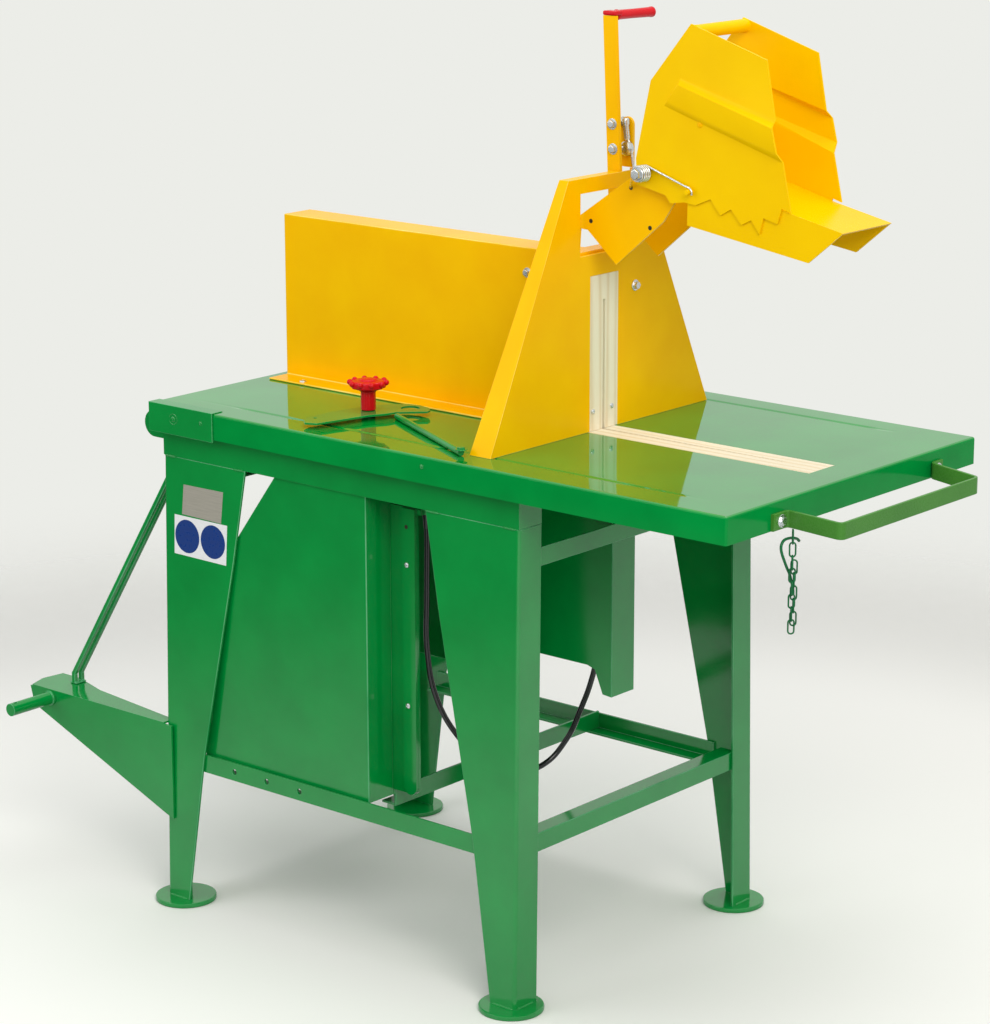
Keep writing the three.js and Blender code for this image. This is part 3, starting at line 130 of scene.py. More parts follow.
def surfaced(tree, shader, look, share, grain, layers):
    # colour goes to the shade by the share and roughness from low to high by the grain,
    # and each layer of bumps tilts the normal of the layer below it
    low, high = look["roughness"]
    normal = None
    for height, depth in layers:
        below = {} if normal is None else {"Normal": normal}
        normal = addNode(tree, "ShaderNodeBump", {
            "Strength": 1.0, "Distance": depth * drawing["metresPerUnit"],
        }, {"Height": height, **below}).outputs["Normal"]
    feeds = {
        "Base Color": addNode(tree, "ShaderNodeMix", {
            "data_type": "RGBA", 6: linear(look["colour"]), 7: linear(look["shade"])},
            {0: share}).outputs[2],
        "Roughness": addNode(tree, "ShaderNodeMapRange", {**noiseRange, "To Min": low, "To Max": high},
                             {"Value": grain}).outputs["Result"],
        "Normal": normal,
    }
    for socket, source in feeds.items():
        tree.links.new(source, shader.inputs[socket])
    for socket, value in look["sockets"].items():
        shader.inputs[socket].default_value = value


# Glossy enamel, sprayed on sheet steel and stoved: a clear bright skin, fine orange peel,
# and the slow waves of the sheet below, which bend what it reflects. Its edge rows are paler
# copies that paint a highlight on eased edges. Waves are depths in millimetres.
enamelColumns = ("colour", "shade", "roughness", "wave", "sockets")
enamels = {
    "greenEnamel": ("#00953F", "#008939", (0.08, 0.16), 0.55, {"IOR": 1.55}),
    "apronEnamel": ("#00953F", "#008939", (0.08, 0.16), 0.3, {"IOR": 1.2}),
    # painted highlight: the paler green that eased edges take, where light would catch them
    "greenEdgeHighlight": ("#6DBB88", "#2E9A5A", (0.15, 0.30), 0.2, {"IOR": 1.3}),
    "tableEnamel": ("#009433", "#00882D", (0.03, 0.06), 0.25, {"IOR": 1.9}),
    "yellowEnamel": ("#FFC400", "#FABA00", (0.16, 0.28), 0.5, {"IOR": 1.14}),
    "hoodEnamel": ("#FBCC00", "#F6C400", (0.18, 0.30), 0.4, {"IOR": 1.14}),
    # painted highlight: the paler yellow that eased edges take, where light would catch them
    "yellowEdgeHighlight": ("#FFE37A", "#F7C81E", (0.20, 0.35), 0.2, {"IOR": 1.2}),
    "oliveEnamel": ("#4B8C34", "#438230", (0.22, 0.34), 0.2, {"IOR": 1.3}),
    "chainEnamel": ("#14703F", "#0E5C33", (0.25, 0.40), 0.1, {"IOR": 1.3}),
}
# Each pattern's size in millimetres, its octaves and how rough they are
enamelGrain = {"cloud": (90.0, 4.0, 0.5), "dust": (2.2, 3.0, 0.7), "wave": (130.0, 1.0, 0.5),
               "peel": (5.0, 2.0, 0.5)}
peelDepth = 0.012


def enamel(name):
    # clouds shade the colour, dust dulls the gloss, and the peel lies on the sheet's waves
    look = dict(zip(enamelColumns, enamels[name]))
    material, tree, shader, place = newMaterial(name)
    cloud, dust, wave, peel = (
        addNode(tree, "ShaderNodeTexNoise", {"Scale": perMetre(size), "Detail": octaves, "Roughness": rough},
                {"Vector": place}).outputs["Fac"]
        for size, octaves, rough in enamelGrain.values()
    )
    share = addNode(tree, "ShaderNodeMapRange", noiseRange, {"Value": cloud}).outputs["Result"]
    surfaced(tree, shader, look, share, dust, [(wave, look["wave"]), (peel, peelDepth)])
    return material


# Planed pine, unfinished: cream earlywood, tan wavering latewood lines and fine pores. A line is half
# the spacing of the latewood in millimetres before it wavers.
pine = {
    "colour": "#F4ECD3", "shade": "#DCC496", "roughness": (0.55, 0.75), "sockets": {},
    "line": 10.0, "waveDivider": 6.3, "stretch": 9.0, "waver": 9.0, "waverDetail": 2.0, "waverScale": 0.8,
    "sharpness": 3.0, "pore": 0.9, "poreOctaves": 2.0, "poreStretch": 30.0, "poreShare": 0.35,
    "shadeShare": 0.5, "depth": 0.12,
}


def pineWood(name, along):
    # bands and pores are drawn out along the grain, and the latewood's share is the bands' cube
    # and a part of the pores, halved
    material, tree, shader, place = newMaterial(name)
    bandPlace, porePlace = (
        addNode(tree, "ShaderNodeMapping", {"Scale": [drawn if axis == along else 1.0 for axis in "xyz"]},
                {"Vector": place}).outputs[0]
        for drawn in (1 / pine["stretch"], 1 / pine["poreStretch"])
    )
    bands = addNode(tree, "ShaderNodeTexWave", {
        "wave_type": "BANDS", "bands_direction": "Y", "Scale": perMetre(pine["line"]) / pine["waveDivider"],
        "Distortion": pine["waver"], "Detail": pine["waverDetail"], "Detail Scale": pine["waverScale"],
    }, {"Vector": bandPlace}).outputs["Fac"]
    sharp = addNode(tree, "ShaderNodeMath", {"operation": "POWER", 1: pine["sharpness"]},
                    {0: bands}).outputs[0]
    pores = addNode(tree, "ShaderNodeTexNoise", {
        "Scale": perMetre(pine["pore"]), "Detail": pine["poreOctaves"], "Roughness": 0.5,
    }, {"Vector": porePlace}).outputs["Fac"]
    openPores = addNode(tree, "ShaderNodeMapRange", noiseRange, {"Value": pores}).outputs["Result"]
    relief = addNode(tree, "ShaderNodeMath", {"operation": "MULTIPLY_ADD", 1: pine["poreShare"]},
                     {0: openPores, 2: sharp}).outputs[0]
    latewood = addNode(tree, "ShaderNodeMath", {
        "operation": "MULTIPLY", 1: pine["shadeShare"], "use_clamp": True}, {0: relief}).outputs[0]
    surfaced(tree, shader, pine, latewood, pores, [(relief, pine["depth"])])
    return material


# Finishes of one grain, which shades the colour, dulls the gloss and lifts the surface
grainedColumns = ("colour", "shade", "roughness", "size", "octaveRoughness", "depth", "sockets")
grained = {
    # moulded plastic: glossy, with a fine skin from the mould
    "redPlastic": ("#D90A1C", "#C80516", (0.16, 0.28), 1.8, 0.5, 0.03, {"IOR": 1.3}),
    # bright zinc plate: pale and cool, dulled in spots a few millimetres across
    "zincPlate": ("#E6E9EA", "#C2C7CA", (0.18, 0.38), 4.0, 0.6, 0.02, {"Metallic": 1.0}),
    # ground steel: grey, with a fine grit that spreads its highlights
    "groundSteel": ("#C4C6C8", "#A9ACAF", (0.25, 0.45), 1.5, 0.6, 0.02, {"Metallic": 1.0}),
    # cast iron: dark and matt, with the sand's coarse skin
    "castIron": ("#3C4142", "#2B2F30", (0.55, 0.8), 3.0, 0.6, 0.35, {"Metallic": 0.4}),
    # bare brushed aluminium: a soft grey sheen with fine lines along x
    "brushedAluminium": ("#B7B3A6", "#A6A295", (0.35, 0.5), 1.2, 0.6, 0.01, {"Metallic": 0.35}),
    # extruded sheathing: smooth, black and fairly glossy
    "blackSheath": ("#0B0C0E", "#15171A", (0.12, 0.24), 3.0, 0.5, 0.01, {}),
    # belt rubber: matt and nearly black
    "beltRubber": ("#161616", "#242322", (0.6, 0.85), 1.2, 0.5, 0.08, {}),
    # vinyl film: even colour and an even satin gloss
    "whiteVinyl": ("#F2F3F4", "#E9EBEC", (0.25, 0.35), 6.0, 0.5, 0.01, {}),
    "blueVinyl": ("#123C86", "#0F357A", (0.25, 0.35), 6.0, 0.5, 0.01, {}),
    # painted shade: a dark disc on painted sheet stands in for the shadowed inside of a drilled hole
    "paintedHoleShade": ("#2B2410", "#1D180A", (0.7, 0.9), 1.0, 0.5, 0.02, {}),
}
grainedOctaves = 3.0
brushedAlong = {"brushedAluminium": (0.03, 1, 1)}  # how much finer or longer its grain is drawn on each axis


def grainedFinish(name):
    # the grain's share shades the colour, and the grain itself sets the gloss and the relief
    look = dict(zip(grainedColumns, grained[name]))
    material, tree, shader, place = newMaterial(name)
    if name in brushedAlong:
        place = addNode(tree, "ShaderNodeMapping", {"Scale": brushedAlong[name]},
                        {"Vector": place}).outputs[0]
    grain = addNode(tree, "ShaderNodeTexNoise", {
        "Scale": perMetre(look["size"]), "Detail": grainedOctaves, "Roughness": look["octaveRoughness"],
    }, {"Vector": place}).outputs["Fac"]
    share = addNode(tree, "ShaderNodeMapRange", noiseRange, {"Value": grain}).outputs["Result"]
    surfaced(tree, shader, look, share, grain, [(grain, look["depth"])])
    return material


finishes = {
    "green": (enamel("greenEnamel"), "green_paint"),
    "table": (enamel("tableEnamel"), "green_paint"),
    "apron": (enamel("apronEnamel"), "green_paint"),
    "yellow": (enamel("yellowEnamel"), "yellow_paint"),
    "hood": (enamel("hoodEnamel"), "yellow_paint"),
    "olive": (enamel("oliveEnamel"), "olive_paint"),
    "chain": (enamel("chainEnamel"), "green_paint"),
    "red": (grainedFinish("redPlastic"), "red_plastic"),
    "pineAlong": (pineWood("pineAlong", "x"), "pine"),
    "pineUpright": (pineWood("pineUpright", "z"), "pine"),
    "zinc": (grainedFinish("zincPlate"), "zinc"),
    "steel": (grainedFinish("groundSteel"), "bright_steel"),
    "iron": (grainedFinish("castIron"), "cast_iron"),
    "plate": (grainedFinish("brushedAluminium"), "zinc"),
    "sheath": (grainedFinish("blackSheath"), "rubber"),
    "belt": (grainedFinish("beltRubber"), "rubber"),
    "white": (grainedFinish("whiteVinyl"), None),
    "blue": (grainedFinish("blueVinyl"), None),
    # the holes' dark discs are painted shade
    "hole": (grainedFinish("paintedHoleShade"), None),
}
# Painted highlights: the paler enamel that an eased edge of a finish takes, where light would catch it
edges = {"green": enamel("greenEdgeHighlight"), "yellow": enamel("yellowEdgeHighlight")}
edges["hood"] = edges["yellow"]
print("materials made")


# Shells: points, four-sided faces and flat end caps
def gridShell(points, closed=False, capped=False, keep=None, flip=False):
    # faces between neighbours on a grid of two parameters, wrapped round across it where it closes
    rows, columns = points.shape[:2]
    index = np.arange(rows * columns).reshape(rows, columns)
    wrapped = np.hstack([index, index[:, :1]]) if closed else index
    quads = np.stack([wrapped[:-1, :-1], wrapped[1:, :-1], wrapped[1:, 1:], wrapped[:-1, 1:]], axis=-1)
    quads = quads.reshape(-1, 4) if keep is None else quads[keep]
    caps = [index[0], index[-1][::-1]] if capped else []
    if flip:
        quads = quads[:, ::-1]
    return points.reshape(-1, 3), quads, caps


def joined(shells):
    # each shell's faces count on from the points of the shells before it
    starts = np.cumsum([0] + [len(points) for points, _, _ in shells])
    points = np.concatenate([points for points, _, _ in shells])
    quads = np.concatenate([quads + start for (_, quads, _), start in zip(shells, starts)])
    caps = [cap + start for (_, _, caps), start in zip(shells, starts) for cap in caps]
    return points, quads, caps


# Two axes square to each axis, and the axis itself
basisOf = {axis: np.roll(np.eye(3), shift, axis=0) for axis, shift in (("x", -1), ("y", 1), ("z", 0))}


def basisAlong(direction):
    # two unit vectors square to a direction, and the direction itself
    if isinstance(direction, str):
        return basisOf[direction[-1]] * ([[-1], [1], [-1]] if direction.startswith("-") else 1)
    last = np.asarray(direction, float) / np.linalg.norm(direction)
    first = np.cross([0, 0, 1] if abs(last[2]) < 0.9 else [1, 0, 0], last)
    first /= np.linalg.norm(first)
    return np.array([first, np.cross(last, first), last])


def revolve(profile, centre, direction, sides, share=1.0):
    # radius times cosine and sine of the angle round the direction, each ring at its own height along it;
    # a profile is pairs of radius and height, and the share scales the radius round the ring
    angles = 2 * np.pi * np.arange(sides) / sides
    radius, height = np.asarray(profile, float).T
    across, along, up = basisAlong(direction)
    ring = (np.cos(angles) * share)[:, None] * across + (np.sin(angles) * share)[:, None] * along
    points = radius[:, None, None] * ring[None] + height[:, None, None] * up + np.asarray(centre, float)
    return gridShell(points, closed=True, capped=True)


def circle(radius, sides):
    # radius times cosine and sine
    angles = 2 * np.pi * np.arange(sides) / sides
    return radius * np.stack([np.cos(angles), np.sin(angles)], axis=1)


def barSection(width, height, ease):
    # a rectangle whose corners are quarter circles
    turn = np.radians(np.arange(0, 91, 30))
    corner = ease * np.stack([np.cos(turn), np.sin(turn)], axis=1)
    half = np.array([width / 2 - ease, height / 2 - ease])
    swing = np.array([[[1, 0], [0, 1]], [[0, -1], [1, 0]], [[-1, 0], [0, -1]], [[0, 1], [-1, 0]]], float)
    signs = np.array([[1, 1], [-1, 1], [-1, -1], [1, -1]], float)
    return np.concatenate([corner @ turnBy.T + sign * half for turnBy, sign in zip(swing, signs)])


def sweep(path, section, up=(0, 0, 1), ring=False):
    # a flat section carried along a path: one of its axes is square to the path and to up
    path = np.asarray(path, float)
    steps = np.roll(path, -1, axis=0) - path if ring else np.diff(path, axis=0)
    steps /= np.linalg.norm(steps, axis=1, keepdims=True)
    before = np.roll(steps, 1, axis=0) if ring else np.concatenate([steps[:1], steps])
    after = steps if ring else np.concatenate([steps, steps[-1:]])
    tangent = before + after
    tangent /= np.linalg.norm(tangent, axis=1, keepdims=True)
    side = np.cross(np.asarray(up, float), tangent)
    side /= np.linalg.norm(side, axis=1, keepdims=True)
    other = np.cross(tangent, side)
    section = section if section.ndim == 3 else np.broadcast_to(section, (len(path), *section.shape))
    points = path[:, None] + section[..., :1] * side[:, None] + section[..., 1:] * other[:, None]
    if ring:
        points = np.concatenate([points, points[:1]])
    return gridShell(points, closed=True, capped=not ring)


def roundedPath(corners, radius, steps):
    # each inner corner becomes a short parabola that starts and ends a radius away from it
    corners = np.asarray(corners, float)
    back = corners[:-2] - corners[1:-1]
    ahead = corners[2:] - corners[1:-1]
    start = corners[1:-1] + radius * back / np.linalg.norm(back, axis=1, keepdims=True)
    end = corners[1:-1] + radius * ahead / np.linalg.norm(ahead, axis=1, keepdims=True)
    t = np.linspace(0, 1, steps)[None, :, None]
    bends = (1 - t) ** 2 * start[:, None] + 2 * t * (1 - t) * corners[1:-1, None] + t ** 2 * end[:, None]
    return np.concatenate([corners[:1], bends.reshape(-1, corners.shape[1]), corners[-1:]])


def smoothPath(corners, steps):
    # cubic through each pair of neighbours, with the slope there taken across the pair on either side
    p = np.asarray(corners, float)
    p = np.concatenate([2 * p[:1] - p[1:2], p, 2 * p[-1:] - p[-2:-1]])
    a, b, c, d = p[:-3, None], p[1:-2, None], p[2:-1, None], p[3:, None]
    t = np.linspace(0, 1, steps, endpoint=False)[None, :, None]
    points = 0.5 * (2 * b + (c - a) * t + (2 * a - 5 * b + 4 * c - d) * t ** 2
                    + (3 * b - a - 3 * c + d) * t ** 3)
    return np.concatenate([points.reshape(-1, p.shape[1]), p[-2:-1]])


def insetOutline(outline, inset):
    # each corner moves along its two sides' inward normals until both sides have moved by the inset
    after = np.roll(outline, -1, axis=0) - outline
    after /= np.linalg.norm(after, axis=1, keepdims=True)
    inward = np.stack([-after[:, 1], after[:, 0]], axis=1)
    before = np.roll(inward, 1, axis=0)
    return outline + inset * (inward + before) / (1 + (inward * before).sum(axis=1, keepdims=True))


def plateShell(outline, low, high, ease, place):
    # a flat plate whose edges are quarter rounds: the outline steps in as the height nears either face
    turn = np.linspace(0, np.pi / 2, 4)
    insets = np.concatenate([ease * (1 - np.sin(turn)), ease * (1 - np.cos(turn))])
    heights = np.concatenate([low + ease * (1 - np.cos(turn)), high - ease * (1 - np.sin(turn))])
    rings = np.stack([insetOutline(outline, inset) for inset in insets])
    return gridShell(place(rings, heights[:, None] + np.zeros(rings.shape[:2])), closed=True, capped=True)


def boxShell(x0, x1, y0, y1, z0, z1, ease=0.8):
    # a plate over a rectangle, which stands straight up
    outline = np.array([[x0, y0], [x1, y0], [x1, y1], [x0, y1]], float)
    return plateShell(outline, z0, z1, ease, lambda rings, z: np.dstack([rings, z[..., None]]))


# Objects: doubles merge within a distance in metres, flats within an angle in degrees, and a face
# whose normal rises less than a share of one counts as a side
meshing = {"mergeDistance": 2e-6, "flatAngle": 0.8, "sideRise": 0.5, "easeSegments": 2}


def meshOf(name, shells):
    # every face lists its corners in one long row, and starts where the faces before it end
    points, quads, caps = joined(shells)
    loops = np.concatenate([quads.ravel(), *caps]).astype(np.int32)
    sizes = np.concatenate([np.full(len(quads), 4), [len(cap) for cap in caps]]).astype(np.int32)
    mesh = bpy.data.meshes.new(name)
    mesh.vertices.add(len(points))
    mesh.vertices.foreach_set("co", metres(points).astype(np.float32).ravel())
    mesh.loops.add(len(loops))
    mesh.loops.foreach_set("vertex_index", loops)
    mesh.polygons.add(len(sizes))
    mesh.polygons.foreach_set("loop_start", np.concatenate([[0], np.cumsum(sizes)[:-1]]).astype(np.int32))
    mesh.update(calc_edges=True)
    mesh.validate()
    return mesh


def tidied(mesh, outward=True, flatten=False):
    # doubles merged, level faces made one, and all faces turned outwards
    work = bmesh.new()
    work.from_mesh(mesh)
    bmesh.ops.remove_doubles(work, verts=work.verts, dist=meshing["mergeDistance"])
    if flatten:
        bmesh.ops.dissolve_limit(work, angle_limit=math.radians(meshing["flatAngle"]), verts=work.verts,
                                 edges=work.edges)
    if outward:
        bmesh.ops.recalc_face_normals(work, faces=work.faces)
    work.to_mesh(mesh)
    work.free()
    return mesh


def asPiece(name, mesh, finish, body, replaced=(), wall=0.0, ease=0.0, sharp=32.0, sides=None):
    # a wall gives a sheet its thickness, ease rounds the edges above the sharp angle, and sides
    # names the finish of the upright faces
    material, slot = finishes[finish]
    mesh.materials.clear()
    mesh.materials.append(material)
    if sides:
        mesh.materials.append(finishes[sides][0])
        facing = np.empty(len(mesh.polygons) * 3)
        mesh.polygons.foreach_get("normal", facing)
        upright = np.abs(facing.reshape(-1, 3)[:, 2]) < meshing["sideRise"]
        mesh.polygons.foreach_set("material_index", upright.astype(np.int32))
    mesh.polygons.foreach_set("use_smooth", np.ones(len(mesh.polygons), bool))
    made = bpy.data.objects.new(name, mesh)
    bpy.context.scene.collection.objects.link(made)
    if wall:
        shell = made.modifiers.new("wall", "SOLIDIFY")
        shell.thickness = wall * drawing["metresPerUnit"]
        shell.offset = -1
        shell.use_even_offset = True
    if ease:
        rounding = made.modifiers.new("ease", "BEVEL")
        rounding.width = ease * drawing["metresPerUnit"]
        rounding.segments = meshing["easeSegments"]
        rounding.limit_method = "ANGLE"
        rounding.angle_limit = math.radians(sharp)
        # the bevel's faces take the finish's paler edge enamel, a painted highlight along every eased edge
        if finish in edges:
            mesh.materials.append(edges[finish])
            rounding.material = 1
    else:
        mesh.set_sharp_from_angle(angle=math.radians(sharp))
    flats = made.modifiers.new("flats", "WEIGHTED_NORMAL")
    flats.keep_sharp = True
    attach(made, body)
    if replaced:
        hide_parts(*replaced)
    return made


def piece(name, shells, finish, body, replaced=(), outward=True, **looks):
    # shells made one mesh, whose faces are turned outwards unless they are a sheet that gets its wall
    return asPiece(name, tidied(meshOf(name, shells), outward), finish, body, replaced, **looks)


def softened(node, finish, ease, flatten):
    # a copy of a CAD node with its doubles merged, its flats made whole and its edges rounded
    mesh = nodes[node].data.copy()
    if "custom_normal" in mesh.attributes:
        mesh.attributes.remove(mesh.attributes["custom_normal"])
    asPiece(node + "_eased", tidied(mesh, flatten=flatten), finish, bodyOf[node], [node], ease=ease)


def faced(node, finish):
    # a CAD node that keeps its own mesh and takes the finish
    material, slot = finishes[finish]
    nodes[node].data.materials.clear()
    nodes[node].data.materials.append(material)


# Control cable: a sheathed cable that hangs in one loop between two clips, with a tapered boot at each
cable = {
    "diameter": 9.0,
    "length": 757.0,
    "bootLength": 22.0,
    "bootRadius": 6.6,
    "bootRoom": 0.3,
    "roundness": 4,
    "stepsPerPoint": 10,
    "route": [
        (126, -215, 729), (126, -215, 718), (126, -215, 680), (125, -215, 600), (124, -214, 510),
        (136, -208, 436), (160, -186, 372), (186, -146, 322), (206, -96, 298), (220, -44, 300),
        (236, -10, 334), (258, 3, 392), (276, 5, 440), (283, 5, 468), (283, 5, 480),
    ],
}


def makeCable():
    # a curve through the route's points with handles that keep it smooth, as thick as the sheath
    curve = bpy.data.curves.new("control_cable_sheath", "CURVE")
    curve.dimensions = "3D"
    curve.bevel_depth = cable["diameter"] / 2 * drawing["metresPerUnit"]
    curve.bevel_resolution = cable["roundness"]
    curve.resolution_u = cable["stepsPerPoint"]
    curve.use_fill_caps = True
    spline = curve.splines.new("BEZIER")
    route = metres(cable["route"])
    spline.bezier_points.add(len(route) - 1)
    spline.bezier_points.foreach_set("co", route.ravel())
    for point in spline.bezier_points:
        point.handle_left_type = point.handle_right_type = "AUTO"
    curve.materials.append(finishes["sheath"][0])
    sheath = bpy.data.objects.new("control_cable_sheath", curve)
    bpy.context.scene.collection.objects.link(sheath)
    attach(sheath, "frame")
    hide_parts("control_cable")
    tip, reach = cable["bootRadius"], cable["bootLength"]
    neck = cable["diameter"] / 2 + cable["bootRoom"]
    profile = [(neck, -reach), (neck + 0.4, -reach * 0.96), (tip * 0.86, -reach * 0.5), (tip, -1.2),
               (tip - 0.6, 0)]
    boots = [
        piece(f"cable_boot_{name}", [revolve(profile, end, "z", 24)], "sheath", "frame")
        for name, end in (("plate", cable["route"][0]), ("guard", cable["route"][-1]))
    ]


makeCable()
print("control cable laid")


# Legs: a bent sheet on a round foot. Its panel is as wide as panels says at each of the levels.
leg = {
    "halfX": 375.0, "halfY": 291.0, "top": 760.7, "splayX": 4.0, "splayY": 15.0, "strip": 52.0,
    "sheet": 4.0, "fold": 6.0, "footX": 356.0, "footY": 287.0, "footRadius": 51.0, "foot": 8.0,
    "levels": (7.7, 262.0, 606.0, 760.7), "panels": (50.0, 87.0, 157.0, 184.0),
}


def legSheet(end, side):
    # an L carried up the leg: along the strip, round the fold as cosine and sine, and in along the
    # panel, whose width is read off its levels at each height
    z = np.unique(np.concatenate([np.linspace(leg["levels"][0], leg["top"], 12), leg["levels"]]))
    x = leg["halfX"] + leg["splayX"] * (1 - z / leg["top"])
    y = leg["halfY"] + leg["splayY"] * (1 - z / leg["top"])
    panel = np.interp(z, leg["levels"], leg["panels"])
    turn = np.radians(np.linspace(0, 90, 7))
    fold = leg["fold"]
    bendX = x[:, None] - fold + fold * np.cos(turn)
    bendY = y[:, None] - fold + fold * np.sin(turn)
    across = np.hstack([x[:, None], bendX, (x - panel)[:, None]])
    along = np.hstack([(y - leg["strip"])[:, None], bendY, y[:, None]])
    up = np.broadcast_to(z[:, None], across.shape)
    return gridShell(np.dstack([end * across, side * along, up]), flip=end * side > 0)


def footDisc(end, side):
    # a turned disc with a fine lower edge and a rounder upper one
    r, h = leg["footRadius"], leg["foot"]
    profile = [(r - 1.5, 0), (r - 0.4, 0.4), (r, 1.5), (r, h - 2.5), (r - 0.8, h - 0.8), (r - 2.5, h)]
    return revolve(profile, (end * leg["footX"], side * leg["footY"], 0), "z", 56)


ends = {"tractor": -1, "operator": 1}
hands = {"left": -1, "right": 1}
for endName, end in ends.items():
    for sideName, side in hands.items():
        node = f"leg_{endName}_{sideName}"
        piece(f"{node}_sheet", [legSheet(end, side)], "green", "frame", [node], outward=False,
              wall=leg["sheet"], ease=0.9)
        piece(f"{node}_foot", [footDisc(end, side)], "green", "frame", [node])


# Frame, guard and hood sheets, wood and drive: copies of the CAD's own solids with their edges rounded,
# under each finish by the rounding in millimetres
easedSheets = {
    "green": {
        1.4: ["side_rail_left", "side_rail_right", "belt_casing"],
        1.0: ["cross_rail_tractor", "cross_rail_operator", "stretcher_left", "stretcher_right",
              "stretcher_tractor", "stretcher_operator", "middle_member", "casing_back_plate",
              "lower_blade_guard", "hitch_gusset_left", "hitch_gusset_right", "corner_cap", "spoon_plate"],
        1.5: ["hitch_brace_left", "hitch_brace_right", "hitch_pin_left", "hitch_pin_right"],
    },
    "yellow": {1.3: ["box_guard", "fence"], 1.0: ["hood_arm", "lever_bar", "lever_side_plate"]},
    "hood": {1.3: ["hood_channel"], 1.0: ["hood_cheek_left", "hood_cheek_right"]},
    "pineAlong": {0.6: ["wood_strip"]},
    "pineUpright": {0.6: ["fence_insert"]},
    "iron": {2.0: ["arbor_housing", "gearbox"]},
    "steel": {0.8: ["arbor", "blade_flange", "drive_shaft", "input_shaft", "arbor_bearing_pulley",
                    "arbor_bearing_blade"]},
}
for finish, groups in easedSheets.items():
    for ease, members in groups.items():
        for node in members:
            softened(node, finish, ease, flatten=node != "fence")
faced("drive_belt", "belt")
print("frame and sheets made")


# Table: one sheet bent down all round, with two shallow pressed grooves and a hole for the wood strip.
# A groove is where it starts and ends along x, and its middle in y.
table = {
    "back": -382.5, "front": 765.0, "left": -312.0, "right": 328.0, "top": 850.0, "apron": 42.0,
    "sheet": 3.0, "bend": 4.0, "bendSteps": 6,
    "stripBack": -357.3, "stripFront": 706.3, "stripLeft": -30.3, "stripRight": 36.3,
    "grooveDepth": 1.6, "grooveHalf": 7.0, "grooveTaper": 40.0,
    "grooves": [(-253.0, 657.0, -252.0), (-253.0, 641.0, 277.0)],
}


def grooveDrop(x, y):
    # a cosine across the groove times a ramp towards each end
    drop = np.zeros(np.broadcast(x, y).shape)
    for start, end, middle in table["grooves"]:
        across = np.clip(1 - np.abs(y - middle) / table["grooveHalf"], 0, 1)
        along = np.clip(np.minimum(x - start, end - x) / table["grooveTaper"], 0, 1)
        drop = drop + table["grooveDepth"] * (1 - np.cos(np.pi * across)) / 2 * along
    return -drop


def stripMask(xs, ys):
    # true for the faces whose middles lie outside the wood strip
    midX, midY = (xs[1:] + xs[:-1]) / 2, (ys[1:] + ys[:-1]) / 2
    insideX = (midX > table["stripBack"]) & (midX < table["stripFront"])
    insideY = (midY > table["stripLeft"]) & (midY < table["stripRight"])
    return ~(insideX[:, None] & insideY[None, :])


def tableSheet():
    # the top is a grid let down into the grooves, and its rim goes out by the bend's sine and down by
    # one less its cosine, then down the apron, with a quarter turn at each corner
    bend, taper, steps = table["bend"], table["grooveTaper"], table["bendSteps"]
    low = np.array([table["back"], table["left"]]) + bend
    high = np.array([table["front"], table["right"]]) - bend
    xs = np.unique([low[0], high[0], table["stripBack"], table["stripFront"],
                    *[x for a, b, _ in table["grooves"] for x in (a, a + taper, b - taper, b)]])
    half = table["grooveHalf"] * np.linspace(-1, 1, 7)
    ys = np.unique(np.concatenate([[low[1], high[1], table["stripLeft"], table["stripRight"]],
                                   *[middle + half for _, _, middle in table["grooves"]]]))
    x, y = np.meshgrid(xs, ys, indexing="ij")
    top = gridShell(np.dstack([x, y, table["top"] + grooveDrop(x, y)]), keep=stripMask(xs, ys))
    turn = np.radians(np.linspace(-90, 0, steps))
    corners = np.array([[high[0], low[1]], [high[0], high[1]], [low[0], high[1]], [low[0], low[1]]])
    sides = [
        np.stack([xs, np.full_like(xs, low[1])], 1), np.stack([np.full_like(ys, high[0]), ys], 1),
        np.stack([xs[::-1], np.full_like(xs, high[1])], 1), np.stack([np.full_like(ys, low[0]), ys[::-1]], 1),
    ]
    base = np.concatenate([part for side, corner in zip(sides, corners)
                           for part in (side, np.repeat(corner[None], steps, axis=0))])
    facing = np.concatenate([part + k * np.pi / 2 for k, side in enumerate(sides)
                             for part in (np.full(len(side), -np.pi / 2), turn)])
    outward = np.stack([np.cos(facing), np.sin(facing)], axis=1)
    fall = np.radians(np.linspace(0, 90, steps))
    reach = np.concatenate([bend * np.sin(fall), [bend]])
    depth = np.concatenate([bend * (1 - np.cos(fall)), [table["apron"]]])
    plan = base[None] + reach[:, None, None] * outward[None]
    height = table["top"] - depth[:, None] + grooveDrop(base[:, 0], base[:, 1])[None]
    return [top, gridShell(np.dstack([plan, height[..., None]]), closed=True)]


piece("table_sheet", tableSheet(), "table", "table", ["table_top"], outward=False, wall=table["sheet"],
      sharp=50, sides="apron")

under = {"runnerWidth": 12.0, "runnerInner": 292.8, "runnerLow": 834.3, "ledge": 7.0, "ledgeDrop": 28.3}


